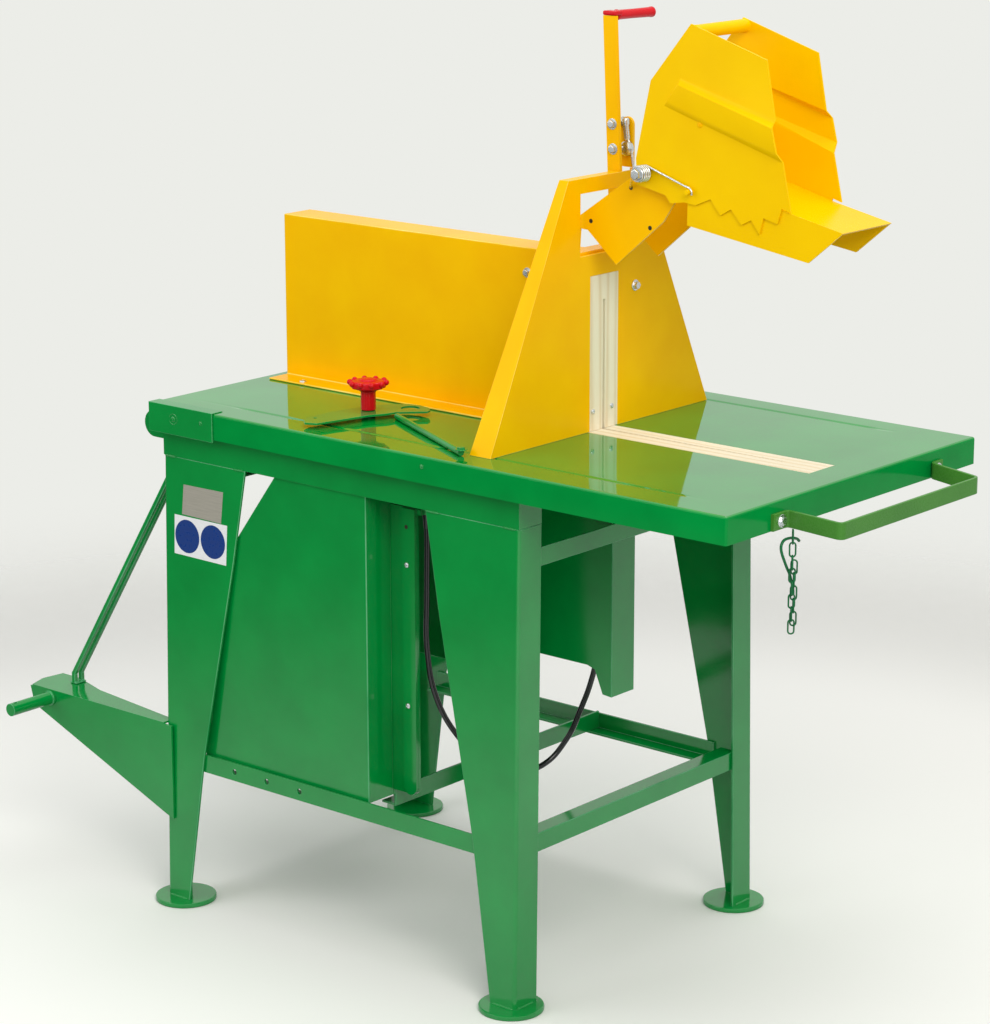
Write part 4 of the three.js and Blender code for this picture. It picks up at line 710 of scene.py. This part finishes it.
def underShells():
    # the runners that sit on the rollers, and the ledge that the wood strip lies on
    sheet, ledge = table["sheet"], under["ledge"]
    inner, outer = under["runnerInner"], under["runnerInner"] + under["runnerWidth"]
    runners = [boxShell(table["back"] + sheet, table["front"] - sheet, *sorted((side * inner, side * outer)),
                        under["runnerLow"], table["top"] - sheet) for side in hands.values()]
    x0, x1, y0, y1 = (table[key] for key in ("stripBack", "stripFront", "stripLeft", "stripRight"))
    walls = [(x0 - sheet, x0, y0 - sheet, y1 + sheet), (x1, x1 + sheet, y0 - sheet, y1 + sheet),
             (x0 - sheet, x1 + sheet, y0 - sheet, y0), (x0 - sheet, x1 + sheet, y1, y1 + sheet)]
    steps = [(x0, x0 + ledge, y0, y1), (x1 - ledge, x1, y0, y1),
             (x0, x1, y0, y0 + ledge), (x0, x1, y1 - ledge, y1)]
    low = table["top"] - under["ledgeDrop"]
    return (runners + [boxShell(*wall, low, table["top"] - sheet) for wall in walls]
            + [boxShell(*step, low, low + sheet) for step in steps])


piece("table_underside", underShells(), "green", "table", ["table_top"], sharp=50)
print("table made")


# Fasteners: heads turned round their own axis. Each is its place, direction, radius and height.
fasteners = {
    "tableBolts": [((166.0, -22.0, 1083.0), "-y", 5.5, 5.0), ((295.0, 83.0, 1064.0), "x", 6.0, 5.5)],
    "tableScrews": [((295.0, -20.0, 881.0), "x", 4.2, 2.6), ((295.0, 26.0, 883.0), "x", 4.2, 2.6),
                    ((-289.0, -54.0, 853.3), "z", 6.0, 3.2)],
    "capScrews": [((-326.0, -314.8, 830.0), "-y", 4.6, 1.6), ((-264.0, -314.8, 832.0), "-y", 3.2, 1.2),
                  ((203.0, -312.0, 834.0), "-y", 3.6, 1.6)],
    "capRing": {"radius": 8.5, "wire": 0.7},
    "casingScrews": [((101.2, -235.0, 647.6), "-y", 4.4, 2.4), ((101.8, -235.0, 419.6), "-y", 4.4, 2.4)],
    "cheekScrew": [((520.4, -58.0, 1344.2), "-y", 4.2, 1.8)],
    # places of the holes, each drawn as a dark disc of painted shade
    "armHoles": [(310.2, -46.1, 1181.3), (422.2, -46.1, 1182.3), (385.8, -46.1, 1238.8)],
    "casingHole": [(101.1, -235.1, 708.3)],
    "hole": [(3.4, 0), (3.3, 0.3)], "washer": 1.4, "washerShare": 1.45,
}
# A hexagon's radius is the cosine of 30 degrees over that of the angle from the middle of a flat
hexSides = 36
hexTurn = (2 * np.pi * np.arange(hexSides) / hexSides) % (np.pi / 3) - np.pi / 6
hexShare = math.cos(math.pi / 6) / np.cos(hexTurn)


def hexHead(place, direction, radius, height):
    # straight flats with a chamfer on top
    profile = [(radius, 0), (radius, height * 0.72), (radius * 0.93, height * 0.95), (radius * 0.78, height)]
    return revolve(profile, place, direction, hexSides, hexShare)


def washer(place, direction, radius, height):
    # a flat ring with an eased outer edge
    return revolve([(radius, 0), (radius, height * 0.7), (radius - 0.5, height)], place, direction, 32)


def panHead(place, direction, radius, height):
    # a quarter of an ellipse on a low rim, with a well in the middle
    turn = np.linspace(0, np.pi / 2, 6)[:-1]
    dome = np.stack([radius * np.cos(turn), height * (0.35 + 0.65 * np.sin(turn))], axis=1)
    well = [(radius * 0.34, height), (radius * 0.2, height * 0.55)]
    return revolve(np.concatenate([[(radius, 0)], dome, well]), place, direction, 28)


def boltSet(place, direction, radius, height):
    # a hexagon head on its washer
    up, thick = basisAlong(direction)[2], fasteners["washer"]
    return [washer(place, direction, radius * fasteners["washerShare"], thick),
            hexHead(np.asarray(place, float) + thick * up, direction, radius, height)]


def makeFasteners():
    # the ring round the first cap screw is a circle in the apron's plane
    screws = {key: [panHead(*screw) for screw in fasteners[key]]
              for key in ("tableScrews", "capScrews", "casingScrews", "cheekScrew")}
    # each hole is a dark disc of painted shade laid on the sheet, not an opening
    holes = {key: [revolve(fasteners["hole"], place, "-y", 24) for place in fasteners[key]]
             for key in ("armHoles", "casingHole")}
    bolts = [shell for bolt in fasteners["tableBolts"] for shell in boltSet(*bolt)]
    ring = circle(fasteners["capRing"]["radius"], 40)
    ringPath = np.asarray(fasteners["capScrews"][0][0]) + np.insert(ring, 1, 0, axis=1)
    capRing = sweep(ringPath, circle(fasteners["capRing"]["wire"], 8), up=(0, 1, 0), ring=True)
    piece("table_screws", bolts + screws["tableScrews"], "zinc", "table", sharp=40)
    piece("cap_screws", screws["capScrews"] + [capRing], "green", "table", sharp=40)
    piece("casing_screws", screws["casingScrews"], "zinc", "frame", sharp=40)
    piece("cheek_screw", screws["cheekScrew"], "yellow", "hood", sharp=40)
    piece("arm_hole_shades", holes["armHoles"], "hole", "table")
    piece("casing_hole_shade", holes["casingHole"], "hole", "frame")


makeFasteners()
print("fasteners made")


# Clamp knob: a round head with ten balls on its rim and a stem that widens below it
knob = {"x": -42.0, "y": -163.0, "foot": 860.3, "neck": 892.0, "top": 911.0, "radius": 27.5, "balls": 10,
        "ball": 4.8, "ballOut": 1.2, "ballDrop": 6.5, "wave": 0.035, "sides": 80, "stem": 11.5}


def makeKnob():
    # the head's radius swells with the cosine of ten times the angle, once for each ball
    foot, neck, top, radius, stem = (knob[k] for k in ("foot", "neck", "top", "radius", "stem"))
    profile = [(stem - 1.5, foot), (stem, foot + 1.5), (stem, neck - 3), (stem + 2.5, neck),
               (radius - 6, neck + 3), (radius - 1, neck + 4.5), (radius, neck + 6.5), (radius, top - 6),
               (radius - 1.2, top - 4.4), (radius - 4, top - 3.6), (stem + 3, top - 3.2),
               (stem + 1.4, top - 1.4), (stem - 1.5, top - 0.4), (2.0, top)]
    share = 1 + knob["wave"] * np.cos(knob["balls"] * 2 * np.pi * np.arange(knob["sides"]) / knob["sides"])
    head = revolve(profile, (knob["x"], knob["y"], 0), "z", knob["sides"], share)
    turn = np.radians(np.linspace(-84, 84, 9))
    ball = np.stack([knob["ball"] * np.cos(turn), knob["ball"] * np.sin(turn)], 1)
    rim = circle(radius + knob["ballOut"], knob["balls"]) + (knob["x"], knob["y"])
    balls = [revolve(ball, (x, y, top - knob["ballDrop"]), "z", 16) for x, y in rim]
    piece("clamp_knob_head", [head, *balls], "red", "knob", ["clamp_knob"], sharp=50)


makeKnob()


# Lever grip: a moulded sleeve on a round bar, with a collar at its root and a domed end
grip = {"x": 268.0, "root": 62.7, "end": 154.5, "z": 1478.0, "radius": 8.3, "droop": 1.0, "hubLeft": 47.7,
        "hubHalf": 12.0, "hubLow": 1478.3, "hubHigh": 1485.3}


def makeGrip():
    # a sleeve turned round a line that droops towards its end, and the flat hub at its root
    run = grip["end"] - grip["root"]
    r = grip["radius"]
    profile = [(r * 0.86, 0), (r, 1.5), (r, 4), (r * 0.9, 6), (r * 0.88, run * 0.5), (r * 0.93, run - 8),
               (r, run - 5), (r, run - 2), (r * 0.8, run - 0.5), (r * 0.3, run)]
    lean = math.radians(grip["droop"])
    sleeve = revolve(profile, (grip["x"], grip["root"], grip["z"]), (0, math.cos(lean), -math.sin(lean)), 32)
    hub = boxShell(grip["x"] - grip["hubHalf"], grip["x"] + grip["hubHalf"], grip["hubLeft"],
                   grip["root"] + 1.5, grip["hubLow"], grip["hubHigh"], 2.0)
    piece("lever_grip_sleeve", [sleeve, hub], "red", "lever", ["lever_grip"], sharp=50)


makeGrip()


# Hood pivot: a long bolt with its nut, spacers and the torsion spring that lifts the hood
pivot = {"x": 424.0, "z": 1266.0, "left": -58.0, "right": 72.0, "bolt": 6.0, "spacer": 12.0, "bush": 8.0,
         "boltLeft": -80.0, "armLeft": -44.0, "armRight": 58.0}
spring = {"wire": 1.75, "radius": 11.0, "pitch": 4.2, "start": 139.0, "sweep": 1506.0, "stepsPerTurn": 28,
          "tip": (386.6, -48.0, 1239.6), "bend": 2.4, "pin": (505.9, 1246.0), "pinRadius": 4.0,
          "pinLength": 13.0, "gap": 0.3, "room": 0.75}


def tube(radius, start, end, centre, direction, sides):
    # the same radius from the start to the end along the direction
    return revolve([(radius, start), (radius, end)], centre, direction, sides)


def makePivot():
    # the spring's coil is a helix, radius times cosine and sine with y in step with the angle,
    # and its two legs run straight to the arm's hole and round the cheek's pin
    x, z, left, right, bush = (pivot[k] for k in ("x", "z", "boltLeft", "right", "bush"))
    at = lambda y: (x, y, z)
    shells = [
        tube(pivot["bolt"], left - 6, right + 8, at(0), "y", 24),
        revolve([(bush - 0.6, left), (bush, left + 1), (bush, pivot["left"] - 0.6)], at(0), "y", 28),
        washer(at(left), "-y", 11.5, 1.6), hexHead(at(left - 1.4), "-y", 8.5, 6.0),
        washer(at(right + 0.3), "y", 12.5, 1.6), hexHead(at(right + 1.8), "y", 9.5, 6.0),
        tube(pivot["spacer"], pivot["left"] + 3.3, pivot["armLeft"] - 2.3, at(0), "y", 28),
        tube(pivot["spacer"], pivot["armRight"] + 2.3, right - 3.3, at(0), "y", 28),
    ]
    piece("hood_pivot_set", shells, "zinc", "table", ["hood_pivot_bolt"], sharp=40)
    r, wire = spring["radius"], spring["wire"]
    first = pivot["left"] - spring["gap"] - wire - spring["room"]
    share = np.linspace(0, 1, int(spring["sweep"] / 360 * spring["stepsPerTurn"]))
    angle = np.radians(spring["start"] - spring["sweep"] * share)
    coil = np.stack([x + r * np.cos(angle), first - spring["pitch"] * spring["sweep"] / 360 * (1 - share),
                     z + r * np.sin(angle)], 1)
    pinX, pinZ = spring["pin"]
    y = pivot["left"] - spring["pinLength"] / 2
    clear = spring["pinRadius"] + wire + spring["gap"]
    tail = [coil[-1], (pinX - clear, y, pinZ + clear + wire), (pinX + 2, y, pinZ + clear),
            (pinX + clear, y, pinZ + 2), (pinX + clear, y, pinZ - 4)]
    path = np.concatenate([[spring["tip"]], coil, roundedPath(tail, spring["bend"], 4)[1:]])
    piece("hood_spring_wire", [sweep(path, circle(wire, 10), up=(0, 1, 0))], "zinc", "hood", ["hood_spring"],
          sharp=60)


makePivot()

# Hood cross bar: a round tube welded between the cheeks
crossBar = {"x": 505.1, "z": 1476.5, "radius": 10.0, "from": -54.7, "to": 68.7}
crossAxis = (crossBar["x"], 0, crossBar["z"])
piece("hood_cross_tube", [tube(crossBar["radius"], crossBar["from"], crossBar["to"], crossAxis, "y", 32)],
      "hood", "hood", ["hood_cross_bar"], sharp=40)


# Lever clamp: two bolts, a clamped wire and its barrel. Places ahead of the lever count from its line.
lever = {"foot": (283.0, 1150.0), "top": (268.0, 1478.0)}
clamp = {
    "bolts": (1315.0, 1277.0), "barLeft": 48.0, "plateRight": 76.0, "head": 6.4, "washer": 8.6,
    "shank": 3.4, "spacer": 6.2, "wire": 2.0, "y": 67.0, "eye": 11.5, "eyeHalf": 4.5, "eyeBore": 2.5,
    "eyeAhead": 12.0,
    "forkTop": (9.0, 66.0, 1323.0), "forkFoot": (13.0, 67.0, 1290.0),
    "forkShares": (0.0, 0.06, 0.28, 0.34, 0.9, 1.0), "forkRadii": (4.6, 6.2, 6.2, 4.6, 4.6, 3.0),
    "route": [(13, 67, 1292), (19, 68, 1280), (22, 68, 1262), (25, 68, 1246)],
}


def leverX(z):
    # the line from the lever's foot to its top, at a height
    (footX, footZ), (topX, topZ) = lever["foot"], lever["top"]
    return footX + (topX - footX) * (z - footZ) / (topZ - footZ)


def makeClamp():
    # the barrel is a circle carried down a line, with its radius read off at each share of the way
    shells = []
    left, right, head, flat = (clamp[k] for k in ("barLeft", "plateRight", "head", "washer"))
    for z in clamp["bolts"]:
        x = leverX(z)
        shells += [
            tube(clamp["shank"], left - 4, right + 6, (x, 0, z), "y", 20),
            washer((x, left, z), "-y", flat, 1.2), hexHead((x, left - 1.2, z), "-y", head, 4.6),
            washer((x, right, z), "y", flat, 1.2), hexHead((x, right + 1.2, z), "y", head, 5),
            tube(clamp["spacer"], left + 6.6, right - 4.3, (x, 0, z), "y", 24),
        ]
    lower = clamp["bolts"][-1]
    x = leverX(lower)
    bore, outer, half = clamp["eyeBore"], clamp["eye"], clamp["eyeHalf"]
    eye = [(bore, -half), (outer - 3, -half), (outer, -half + 2), (outer, half - 2), (outer - 3, half),
           (bore, half)]
    top, foot = np.array(clamp["forkTop"]), np.array(clamp["forkFoot"])
    fork = (x, 0, 0) + top + np.array(clamp["forkShares"])[:, None] * (foot - top)
    thickness = np.array(clamp["forkRadii"])[:, None, None] * circle(1.0, 20)[None]
    lead = smoothPath((x, 0, 0) + np.array(clamp["route"], float), 5)
    shells += [revolve(eye, (x + clamp["eyeAhead"], clamp["y"], lower), "y", 32),
               sweep(fork, thickness, up=(0, 1, 0)), sweep(lead, circle(clamp["wire"], 12), up=(0, 1, 0))]
    piece("lever_clamp_set", shells, "zinc", "lever", ["lever_cable_clamp"], sharp=40)


makeClamp()


# Stay rod and push handle
rod = {"start": (9.0, -152.0, 855.3), "end": (248.0, -274.0, 855.3), "radius": 5.0, "bolt": 6.5,
       "boltHeight": 3.4, "boltRise": 4.4}
startRod, endRod = np.array(rod["start"]), np.array(rod["end"])
rodPath = startRod + np.linspace(0, 1, 12)[:, None] * (endRod - startRod)
rodBolt = boltSet(endRod + (0, 0, rod["boltRise"]), "z", rod["bolt"], rod["boltHeight"])
piece("stay_rod_bar", [sweep(rodPath, circle(rod["radius"], 20)), *rodBolt], "green", "table", ["stay_rod"],
      sharp=40)

handle = {"near": 767.8, "far": 868.8, "tabLeft": -207.0, "armLeft": -170.5, "cornerLeft": -184.0,
          "cornerRight": 169.0, "armRight": 202.0, "tabRight": 229.0, "z": 821.0, "bar": 5.0, "height": 25.0,
          "bend": 9.0, "edge": 1.0, "boltY": (-187.5, 216.0), "bolt": 6.6, "boltHeight": 4.2}


def makeHandle():
    # a flat bar on edge, from one tab out to the corners, across, and back to the other tab
    near, far, z = handle["near"], handle["far"], handle["z"]
    corners = [(near, handle["tabLeft"], z), (near, handle["armLeft"], z), (far, handle["cornerLeft"], z),
               (far, handle["cornerRight"], z), (near, handle["armRight"], z), (near, handle["tabRight"], z)]
    section = barSection(handle["bar"], handle["height"], handle["edge"])
    piece("push_handle_bar", [sweep(roundedPath(corners, handle["bend"], 7), section)], "olive", "table",
          ["push_handle"], sharp=50)
    face = near + handle["bar"] / 2
    bolts = [shell for y in handle["boltY"]
             for shell in boltSet((face, y, z), "x", handle["bolt"], handle["boltHeight"])]
    piece("handle_bolts", bolts, "zinc", "table", sharp=40)


makeHandle()
print("handles made")


# Chain: oval links at right angles to each other, doubled back in its lower part, and a wire hook,
# whose route is pairs of y and z from its own place
chain = {"x": 779.0, "y": -172.0, "top": 806.6, "pitch": 18.9, "wire": 1.25, "half": 4.3, "straight": 12.4,
         "links": 8, "second": 5, "secondShift": 4.6, "secondDrop": 0.4, "heading": 41.0}
hook = {
    "place": (771.0, -172.0, 808.2), "wire": 2.1,
    "route": [(27.2, -25.1), (20.7, -20.4), (5.8, -16.5), (-8.8, -16.3), (-15.3, -20.7), (-17.1, -27.0),
              (-13.8, -37.1), (-2.1, -57.9), (5.9, -70.6), (14.1, -91.8), (15.0, -102.0)],
}


def link(centre, turned):
    # two half circles joined by straight runs, in one of two upright planes at right angles
    t = np.radians(np.linspace(0, 180, 9))
    arcTop = np.stack([chain["half"] * np.cos(t), chain["straight"] / 2 + chain["half"] * np.sin(t)], 1)
    flat = np.concatenate([arcTop, -arcTop])
    heading = math.radians(chain["heading"] + (90 if turned else 0))
    across = np.array([math.cos(heading), math.sin(heading), 0])
    up = np.array([-math.sin(heading), math.cos(heading), 0])
    path = np.asarray(centre, float) + flat[:, :1] * across + flat[:, 1:] * np.array([0, 0, 1])
    return sweep(path, circle(chain["wire"], 6), up=up, ring=True)


def makeChain():
    # links a pitch apart down each run, every other one turned
    x, y, pitch = chain["x"], chain["y"], chain["pitch"]
    half = chain["straight"] / 2 + chain["half"]
    places = chain["top"] - half - pitch * np.arange(chain["links"])
    lower = places[-chain["second"] - 1] - pitch * np.arange(chain["second"]) - pitch * chain["secondDrop"]
    shells = [link((x, y, z), k % 2 == 0) for k, z in enumerate(places)]
    shells += [link((x, y + chain["secondShift"], z), k % 2 == 1) for k, z in enumerate(lower)]
    piece("chain_links", shells, "chain", "chain", ["chain"], sharp=60)
    path = smoothPath(np.insert(np.array(hook["route"]), 0, 0, axis=1) + hook["place"], 5)
    piece("hook_wire", [sweep(path, circle(hook["wire"], 12), up=(1, 0, 0))], "chain", "chain", ["hook"],
          sharp=60)


makeChain()


# Rollers: grooveless steel discs on their pins
roller = {"z": 821.0, "radius": 13.0, "width": 11.0, "face": 292.8, "pin": 4.0, "pinFrom": -15.6,
          "pinTo": 0.5, "nut": 5.2, "nutHeight": 4.0, "nutBack": 7.6, "tractor": -371.0, "operator": 343.0}


def makeRoller(node, x, side):
    # the wheel turns round y from its inner face out, with its outer face sunk round a small hub
    out, back = ("y", "-y") if side > 0 else ("-y", "y")
    r, w, z = roller["radius"], roller["width"], roller["z"]
    wheel = [(r - 1.5, 0), (r, 1.5), (r, w - 1.5), (r - 1.5, w), (r - 3, w), (r - 4, w - 1.4), (6, w - 1.4),
             (5, w), (2.5, w)]
    face = (x, side * roller["face"], z)
    nutPlace = (x, side * (roller["face"] - roller["nutBack"]), z)
    shells = [revolve(wheel, face, out, 48),
              tube(roller["pin"], roller["pinFrom"], roller["pinTo"], face, out, 20),
              hexHead(nutPlace, back, roller["nut"], roller["nutHeight"])]
    piece(f"{node}_wheel", shells, "green", bodyOf[node], [node], sharp=40)


for endName in ends:
    for sideName, side in hands.items():
        makeRoller(f"roller_{endName}_{sideName}", roller[endName], side)


# Saw blade: a flat ring whose rim follows the teeth, each rising slowly and dropping back sharply
blade = {"x": -47.0, "y": 7.0, "z": 742.0, "radius": 300.0, "bore": 15.3, "rings": (150.0, 270.0),
         "thickness": 3.0, "teeth": 48, "depth": 9.0, "stepsPerTooth": 12, "front": 0.12, "backPower": 1.4}


def makeBlade():
    # along a tooth the rim drops over the front's share, then rises as a power of what is left
    count = blade["teeth"] * blade["stepsPerTooth"]
    turn = np.arange(count) / count
    within = (turn * blade["teeth"]) % 1
    back = np.clip((within - blade["front"]) / (1 - blade["front"]), 0, 1) ** blade["backPower"]
    front = np.clip(1 - within / blade["front"], 0, 1)
    rim = blade["radius"] - blade["depth"] * (1 - np.maximum(back, front))
    inner = [np.full(count, radius) for radius in (blade["bore"], *blade["rings"])]
    radius = np.stack([*inner, rim])
    angle = 2 * np.pi * turn
    half = blade["thickness"] / 2
    face = lambda y: np.dstack([blade["x"] + radius * np.cos(angle), np.full_like(radius, y),
                                blade["z"] + radius * np.sin(angle)])
    near, far = face(blade["y"] - half), face(blade["y"] + half)[::-1]
    rings = np.concatenate([near, far, near[:1]])
    piece("saw_blade_disc", [gridShell(rings, closed=True)], "steel", "blade", ["saw_blade"], sharp=30)


makeBlade()
print("chain, rollers and blade made")


# Welds: short beads. Each run along a side rail is where it starts in x and how long it is, and each
# at a foot is the coordinate that it keeps, then where it starts and ends.
welds = {
    "ripple": 3.2, "swell": 0.16, "railY": 291.2, "railZ": 760.5,
    "left": {"radius": 1.7, "runs": [(-216, 22), (-372, 26), (191, 28), (344, 26)]},
    "right": {"radius": 2.3, "runs": [(-216, 22), (-372, 26), (191, 28), (346, 26)]},
    "footRadius": 2.6, "footZ": 8.2, "footAcross": (378.5, 300, 262), "footAlong": (305.6, 374, 334),
    "ring": {"radius": 9.6, "bead": 1.2, "swell": 0.2, "waves": 7, "places": (-54.5, 68.5)},
}


def bead(start, end, radius):
    # the radius falls off at both ends and swells with a sine once for each ripple
    start, end = np.asarray(start, float), np.asarray(end, float)
    length = np.linalg.norm(end - start)
    ripple = welds["ripple"]
    t = np.linspace(0, 1, max(int(length / ripple * 4), 8))
    wave = 1 + welds["swell"] * np.sin(2 * np.pi * t * length / ripple)
    swell = radius * np.sqrt(np.clip(1 - (2 * t - 1) ** 8, 0.02, 1)) * wave
    section = swell[:, None, None] * circle(1.0, 10)[None]
    up = (0, 0, 1) if abs((end - start)[2]) < length * 0.9 else (1, 0, 0)
    return sweep(start + t[:, None] * (end - start), section, up=up)


def makeWelds():
    # four beads along each side rail, two at each foot, and a ring at each end of the hood's cross tube
    shells = []
    for sideName, side in hands.items():
        rail, y, z = welds[sideName], side * welds["railY"], welds["railZ"]
        shells += [bead((x, y, z), (x + run, y, z), rail["radius"]) for x, run in rail["runs"]]
    (x, y0, y1), (y, x0, x1), low = welds["footAcross"], welds["footAlong"], welds["footZ"]
    for end in ends.values():
        for side in hands.values():
            shells += [bead((end * x, side * y0, low), (end * x, side * y1, low), welds["footRadius"]),
                       bead((end * x0, side * y, low), (end * x1, side * y, low), welds["footRadius"])]
    piece("frame_welds", shells, "green", "frame", sharp=70)
    ring = welds["ring"]
    angle = 2 * np.pi * np.arange(36) / 36
    path = np.insert(circle(ring["radius"], 36) + (crossBar["x"], crossBar["z"]), 1, 0, axis=1)
    swell = (ring["bead"] * (1 + ring["swell"] * np.sin(ring["waves"] * angle)))[:, None, None]
    section = swell * circle(1.0, 8)[None]
    piece("hood_welds", [sweep(path + (0, y, 0), section, up=(0, 1, 0), ring=True) for y in ring["places"]],
          "hood", "hood", sharp=70)


makeWelds()


# Labels on the left tractor leg: a blank aluminium plate, and a white sticker with two plain blue discs.
# Corners are pairs of x and z, and sheet and film are a thickness and the roundness of its edge.
labels = {
    "plate": [(-334.2, 668.1), (-245.2, 666.6), (-240.0, 719.0), (-330.0, 717.9)],
    "sticker": [(-352.9, 600.0), (-234.6, 599.1), (-231.6, 665.5), (-351.7, 665.3)],
    "discs": [(-322.8, 632.6), (-264.2, 633.2)], "discRadius": 27.6,
    "sheet": (0.6, 0.25), "film": (0.3, 0.1), "discRise": 0.25,
}


def onPanel(proud):
    # the panel leans out towards the floor, so its y follows the height
    def place(rings, height):
        z = rings[..., 1]
        y = -(leg["halfY"] + leg["splayY"] * (1 - z / leg["top"])) - proud - height
        return np.dstack([rings[..., 0], y, z])
    return place


def makeLabels():
    # thin plates laid on the leg's leaning panel
    discs = [circle(labels["discRadius"], 56) + centre for centre in labels["discs"]]
    for name, outlines, stock, rise, finish in (
            ("rating_plate_blank", [labels["plate"]], "sheet", 0, "plate"),
            ("sticker_white", [labels["sticker"]], "film", 0, "white"),
            ("sticker_discs", discs, "film", labels["discRise"], "blue")):
        shells = [plateShell(np.array(outline), 0, *labels[stock], onPanel(rise)) for outline in outlines]
        piece(name, shells, finish, "frame", sharp=50)


makeLabels()
print("welds and labels made")


# Floor, lights and world: lengths in the drawing's millimetres, lamps in metres and watts.
# Each lamp is its place, its target, its size, its power and its colour.
stage = {
    "floor": "#F5F5F0", "bounce": "#ACACA6", "floorRoughness": 0.85, "floorSpecular": 0.1,
    "floorRadius": 9000.0, "fadeFrom": 1300.0, "fadeTo": 3000.0,
    "dim": "#3C3C39", "bright": "#FFFFFF", "brightSide": (0.5 ** 0.5, 0.5 ** 0.5, 0),
    "dimUntil": -2800.0, "brightFrom": -200.0,
    "sky": "#ECEDE8", "skyStrength": 1.0, "worldLight": 0.62,
}
lamps = {
    "keyLamp": ((3.6, -2.6, 3.8), (0, 0, 0.7), 2.6, 128, "#FFFDF8"),
    "fillLamp": ((-2.6, -4.4, 2.6), (0, 0, 0.6), 3.0, 55, "#F8FBFF"),
    "topLamp": ((0.3, 0.6, 4.6), (0, 0, 0.6), 3.2, 60, "#FFFFFF"),
}


def makeFloor():
    # the camera sees the floor's own colour, bounced light a greyer one, and reflections one that goes
    # from dim towards -X and -Y to bright towards +X and +Y, so that the enamel has something to mirror
    material, tree, shader, place = newMaterial("studioFloor")
    rays = addNode(tree, "ShaderNodeLightPath").outputs
    aside = addNode(tree, "ShaderNodeVectorMath", {"operation": "DOT_PRODUCT", 1: stage["brightSide"]},
                    {0: place}).outputs["Value"]
    distance = addNode(tree, "ShaderNodeVectorMath", {"operation": "LENGTH"}, {0: place}).outputs["Value"]
    lit, fade = (
        addNode(tree, "ShaderNodeMapRange", {
            "interpolation_type": "SMOOTHSTEP", "From Min": stage[start] * drawing["metresPerUnit"],
            "From Max": stage[end] * drawing["metresPerUnit"], "To Min": 0.0, "To Max": 1.0,
        }, {"Value": value}).outputs["Result"]
        for value, start, end in ((aside, "dimUntil", "brightFrom"), (distance, "fadeFrom", "fadeTo"))
    )
    mirrored, direct = (
        addNode(tree, "ShaderNodeMix", {
            "data_type": "RGBA", 6: linear(stage[first]), 7: linear(stage[second]),
        }, {0: factor}).outputs[2]
        for factor, first, second in ((lit, "dim", "bright"), (rays["Is Camera Ray"], "bounce", "floor"))
    )
    colour = addNode(tree, "ShaderNodeMix", {"data_type": "RGBA"},
                     {0: rays["Is Glossy Ray"], 6: direct, 7: mirrored}).outputs[2]
    tree.links.new(colour, shader.inputs["Base Color"])
    shader.inputs["Roughness"].default_value = stage["floorRoughness"]
    shader.inputs["Specular IOR Level"].default_value = stage["floorSpecular"]
    unseen = addNode(tree, "ShaderNodeMath", {"operation": "SUBTRACT", 0: 1.0},
                     {1: rays["Is Glossy Ray"]}).outputs[0]
    faded = addNode(tree, "ShaderNodeMath", {"operation": "MULTIPLY"}, {0: fade, 1: unseen}).outputs[0]
    clear = addNode(tree, "ShaderNodeBsdfTransparent")
    mixed = addNode(tree, "ShaderNodeMixShader", None,
                    {0: faded, 1: shader.outputs["BSDF"], 2: clear.outputs[0]})
    output = next(node for node in tree.nodes if node.type == "OUTPUT_MATERIAL")
    tree.links.new(mixed.outputs[0], output.inputs["Surface"])
    disc = tube(stage["floorRadius"], -1.0, 0, (drawing["middleX"], 0, -0.2), "z", 96)
    mesh = tidied(meshOf("floor", [disc]))
    mesh.materials.append(material)
    floor = bpy.data.objects.new("floor", mesh)
    bpy.context.scene.collection.objects.link(floor)


def makeLamps():
    # square area lamps, each turned to face its target
    for name, (place, target, size, power, colour) in lamps.items():
        data = bpy.data.lights.new(name, "AREA")
        data.shape = "SQUARE"
        data.size = size
        data.energy = power
        data.color = linear(colour)[:3]
        lamp = bpy.data.objects.new(name, data)
        lamp.location = place
        lamp.rotation_euler = (Vector(target) - lamp.location).to_track_quat("-Z", "Y").to_euler()
        bpy.context.scene.collection.objects.link(lamp)


def makeWorld():
    # the world lights the part evenly, and looks like a pale studio to the camera and to reflections
    world = bpy.data.worlds.new("studio")
    bpy.context.scene.world = world
    world.use_nodes = True
    tree = world.node_tree
    tree.nodes.clear()
    rays = addNode(tree, "ShaderNodeLightPath").outputs
    light = addNode(tree, "ShaderNodeBackground", {"Color": (1, 1, 1, 1), "Strength": stage["worldLight"]})
    seen = addNode(tree, "ShaderNodeBackground",
                   {"Color": linear(stage["sky"]), "Strength": stage["skyStrength"]})
    either = addNode(tree, "ShaderNodeMath", {"operation": "MAXIMUM"},
                     {0: rays["Is Camera Ray"], 1: rays["Is Glossy Ray"]}).outputs[0]
    anyRay = addNode(tree, "ShaderNodeMath", {"operation": "MAXIMUM"},
                     {0: either, 1: rays["Is Transmission Ray"]}).outputs[0]
    mixed = addNode(tree, "ShaderNodeMixShader", None, {0: anyRay, 1: light.outputs[0], 2: seen.outputs[0]})
    addNode(tree, "ShaderNodeOutputWorld", links={"Surface": mixed.outputs[0]})


makeFloor()
makeLamps()
makeWorld()
bpy.context.scene.view_settings.view_transform = "Standard"
print("stage set")
